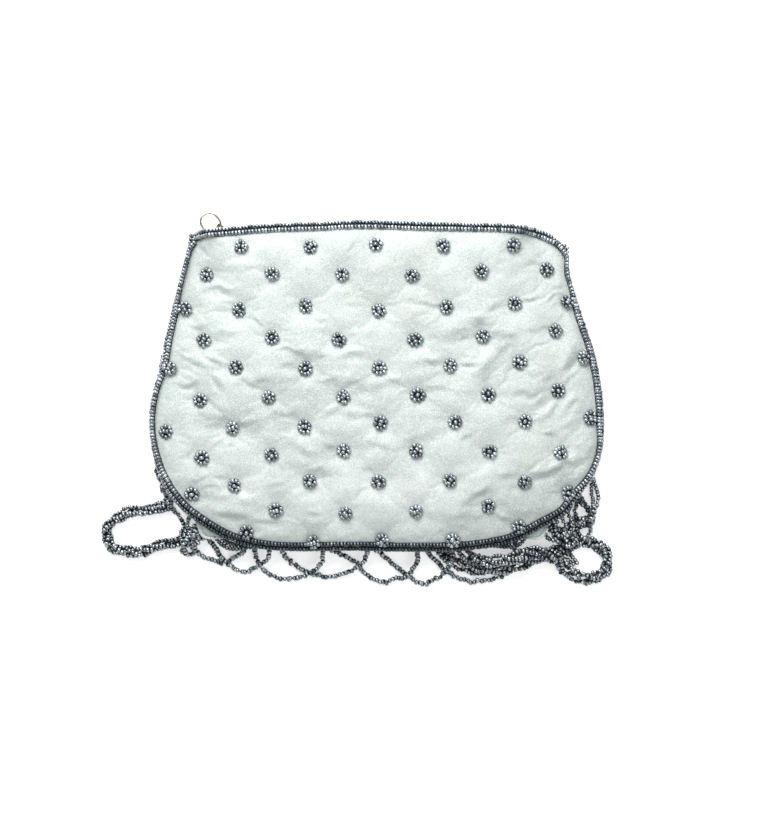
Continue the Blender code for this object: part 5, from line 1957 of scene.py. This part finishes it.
@dataclass
class Zip:
    """The zip: woven tapes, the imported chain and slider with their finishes, and the ring."""

    plan: BagPlan
    finishes: Finishes
    depth: float = 0.008
    left_share: float = -0.7135
    right_share: float = 0.6189
    tape_wall: float = 0.00035
    tape_width: float = 0.0115
    shown_share: float = 0.31
    bow: float = 0.00016
    stitch_length: float = 0.0031
    lining_gap: float = 0.0002
    cord_edge: float = 0.0023
    lining_depth: float = 0.0027
    slider_back: float = 0.0022
    slider_length: float = 0.009
    bridge_shift: float = -0.001
    bridge_height: float = 0.0035
    lean: float = math.radians(62.0)
    eye_height: float = 0.00365
    ring_length: float = 0.0092
    ring_half_width: float = 0.0039
    wire_radius: float = 0.00055
    ring_shares: Rows = ((0.0, 0.0), (0.03, 0.42), (0.3, 0.86), (0.62, 1.0), (0.9, 0.62), (1.0, 0.0))

    def tape(self, side: Side) -> None:
        """One woven tape, from the chain's cord out to the lining.

        The tape is a grid: even steps along the zip, and across it a line from the chain
        to the lining that bows a little and ripples with the stitching.

        Args:
            side: The face of the bag.
        """
        plan = self.plan
        axis_y = plan.depth / 2 - self.depth
        x = np.linspace(self.left_share, self.right_share, 320) * plan.width / 2
        skin = plan.skin(side, x, np.full_like(x, axis_y))
        inner = plan.rim_height + side.value * self.cord_edge
        outer = skin - side.value * (self.lining_depth + self.lining_gap)
        across = np.linspace(0.0, 1.0, 9)
        z = inner + (outer - inner)[:, None] * across[None]
        ripple = np.sin(x * 2 * math.pi / self.stitch_length)[:, None]
        y = axis_y + self.bow * np.sin(math.pi * across)[None] * ripple
        wide = np.broadcast_to(x[:, None], z.shape)
        name = f"zip_tape_{side.word}"
        form = grid_form(wide, y, z, flip=side is Side.FRONT)
        piece = make_piece(name, form, self.finishes.tape, [name])
        thicken(piece, self.tape_wall, 0.0)

    def ring(self) -> None:
        """The wire pull ring: a round wire along a drop-shaped loop through the link's eye."""
        half = [(b * self.ring_half_width, a * self.ring_length) for a, b in self.ring_shares]
        loop = half + [(-x, y) for x, y in reversed(half[1:-1])]
        flat = smooth_through([(x, y, 0.0) for x, y in loop], 110, closed=True)
        c, s = math.cos(self.lean), math.sin(self.lean)
        axis_x = self.left_share * self.plan.width / 2 + self.slider_back
        axis_x = axis_x + self.slider_length / 2 + self.bridge_shift
        axis_y = self.plan.depth / 2 - self.depth + self.bridge_height
        eye = np.array((axis_x - s * self.eye_height, axis_y + c * self.eye_height))
        x = eye[0] + c * flat[:, 0] - s * flat[:, 1]
        y = eye[1] + s * flat[:, 0] + c * flat[:, 1]
        points = np.column_stack([x, y, np.full_like(x, self.plan.rim_height)])
        wire = tube(points, self.wire_radius, 14, closed=True)
        make_piece("pull_ring", wire, self.finishes.ring, ["zip_pull_ring"], body=Body.RING)

    def build(self) -> None:
        """The tapes and the ring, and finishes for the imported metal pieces."""
        for side in Side:
            self.tape(side)
        self.ring()
        for node in ("teeth_front", "teeth_back", "top_stop_front", "top_stop_back", "bottom_stop"):
            dress(f"zip_{node}", self.finishes.chain)
        dress("zip_slider", self.finishes.slider)
        dress("zip_pull_link", self.finishes.link)


# Studio


@dataclass
class Studio:
    """A pale table, a white surround, two soft lamps, and the photograph's camera."""

    frame_pixels: tuple[int, int] = (772, 832)
    camera_distance: float = 1.25
    focus_height: float = 0.012
    sensor: float = 36.0
    sky: float = 0.3
    key_place: tuple[float, float, float] = (-0.22, 0.76, 0.78)
    key_size: float = 0.95
    key_watts: float = 16.2
    fill_watts: float = 3.8
    fill_place: tuple[float, float, float] = (0.45, -0.5, 0.95)
    fill_size: float = 0.8
    table_reach: float = 3.0
    table_colour: Colour = (0.96, 0.962, 0.962)
    table_white: float = 0.5

    def camera(self) -> None:
        """Look straight down at the photograph's scale, with its middle in the middle."""
        data = bpy.data.cameras.new("camera")
        data.sensor_width = self.sensor
        tall = max(self.frame_pixels) * PIXEL_SIZE
        data.lens = self.sensor * self.camera_distance / tall
        made = bpy.data.objects.new("camera", data)
        x = (self.frame_pixels[0] / 2 - MIDDLE_PIXEL[0]) * PIXEL_SIZE
        y = (MIDDLE_PIXEL[1] - self.frame_pixels[1] / 2) * PIXEL_SIZE
        made.location = (x, y, self.focus_height + self.camera_distance)
        bpy.context.scene.collection.objects.link(made)
        bpy.context.scene.camera = made

    def lamp(
        self, name: str, place: tuple[float, float, float], size: float, watts: float, colour: Colour
    ) -> None:
        """One soft square lamp, turned to the bag.

        Args:
            name: The lamp's name.
            place: Where it hangs.
            size: Side of the square.
            watts: Its power.
            colour: Its colour.
        """
        data = bpy.data.lights.new(name, "AREA")
        data.size = size
        data.energy = watts
        data.color = colour
        made = bpy.data.objects.new(name, data)
        made.location = place
        made.rotation_mode = "QUATERNION"
        made.rotation_quaternion = (-Vector(place)).to_track_quat("-Z", "Y")
        bpy.context.scene.collection.objects.link(made)

    def surround(self) -> None:
        """An even white sky all round."""
        world = bpy.data.worlds.new("surround")
        world.use_nodes = True
        tree = world.node_tree
        tree.nodes.clear()
        light = tree.nodes.new("ShaderNodeBackground")
        light.inputs["Color"].default_value = (1.0, 1.0, 1.0, 1.0)
        light.inputs["Strength"].default_value = self.sky
        output = tree.nodes.new("ShaderNodeOutputWorld")
        tree.links.new(light.outputs[0], output.inputs[0])
        bpy.context.scene.world = world

    def table(self) -> None:
        """The white table top: it keeps soft shadows, and looks whiter than it is lit."""
        g = Graph("table_top")
        grain = g.noise(9.0, 3.0)
        tone = g.mix(grain.ramp(0.3, 0.7), self.table_colour, tuple(c * 0.995 for c in self.table_colour))
        rays = g.node("LightPath", {}, {}, "Is Camera Ray")
        for kind in ("Is Glossy Ray", "Is Transmission Ray"):
            rays = rays + g.node("LightPath", {}, {}, kind)
        white = g.mix(rays.ramp(0.0, 1.0), (0.0, 0.0, 0.0), (self.table_white,) * 3)
        g.set(Base_Color=tone, Roughness=0.75, Emission_Color=white, Emission_Strength=1.0)
        reach = self.table_reach
        mesh = bpy.data.meshes.new("table_top")
        corners = [(-reach, -reach, 0), (reach, -reach, 0), (reach, reach, 0), (-reach, reach, 0)]
        mesh.from_pydata(corners, [], [(0, 1, 2, 3)])
        mesh.materials.append(g.material)
        made = bpy.data.objects.new("table_top", mesh)
        bpy.context.scene.collection.objects.link(made)

    def build(self) -> None:
        """Camera, surround, lamps and table, with plain colours."""
        bpy.context.scene.view_settings.view_transform = "Standard"
        self.camera()
        self.surround()
        self.lamp("key", self.key_place, self.key_size, self.key_watts, (1.0, 0.997, 0.992))
        self.lamp("fill", self.fill_place, self.fill_size, self.fill_watts, (0.98, 0.99, 1.0))
        self.table()


def main() -> None:
    """Load the frame and build the studio, the cords, and then the rest of the bag."""
    logging.basicConfig(level=logging.INFO, format="%(name)s: %(message)s")
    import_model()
    plan = BagPlan()
    finishes = Finishes()
    Studio().build()
    Strap(plan, finishes).build()
    Fringe(plan, finishes).build()
    satin = SatinPanels(plan, finishes)
    satin.build()
    Lining(plan, finishes).build()
    BeadBorder(plan, finishes).build()
    Flowers(plan, finishes, satin).build()
    Zip(plan, finishes).build()


if __name__ == "__main__":
    main()
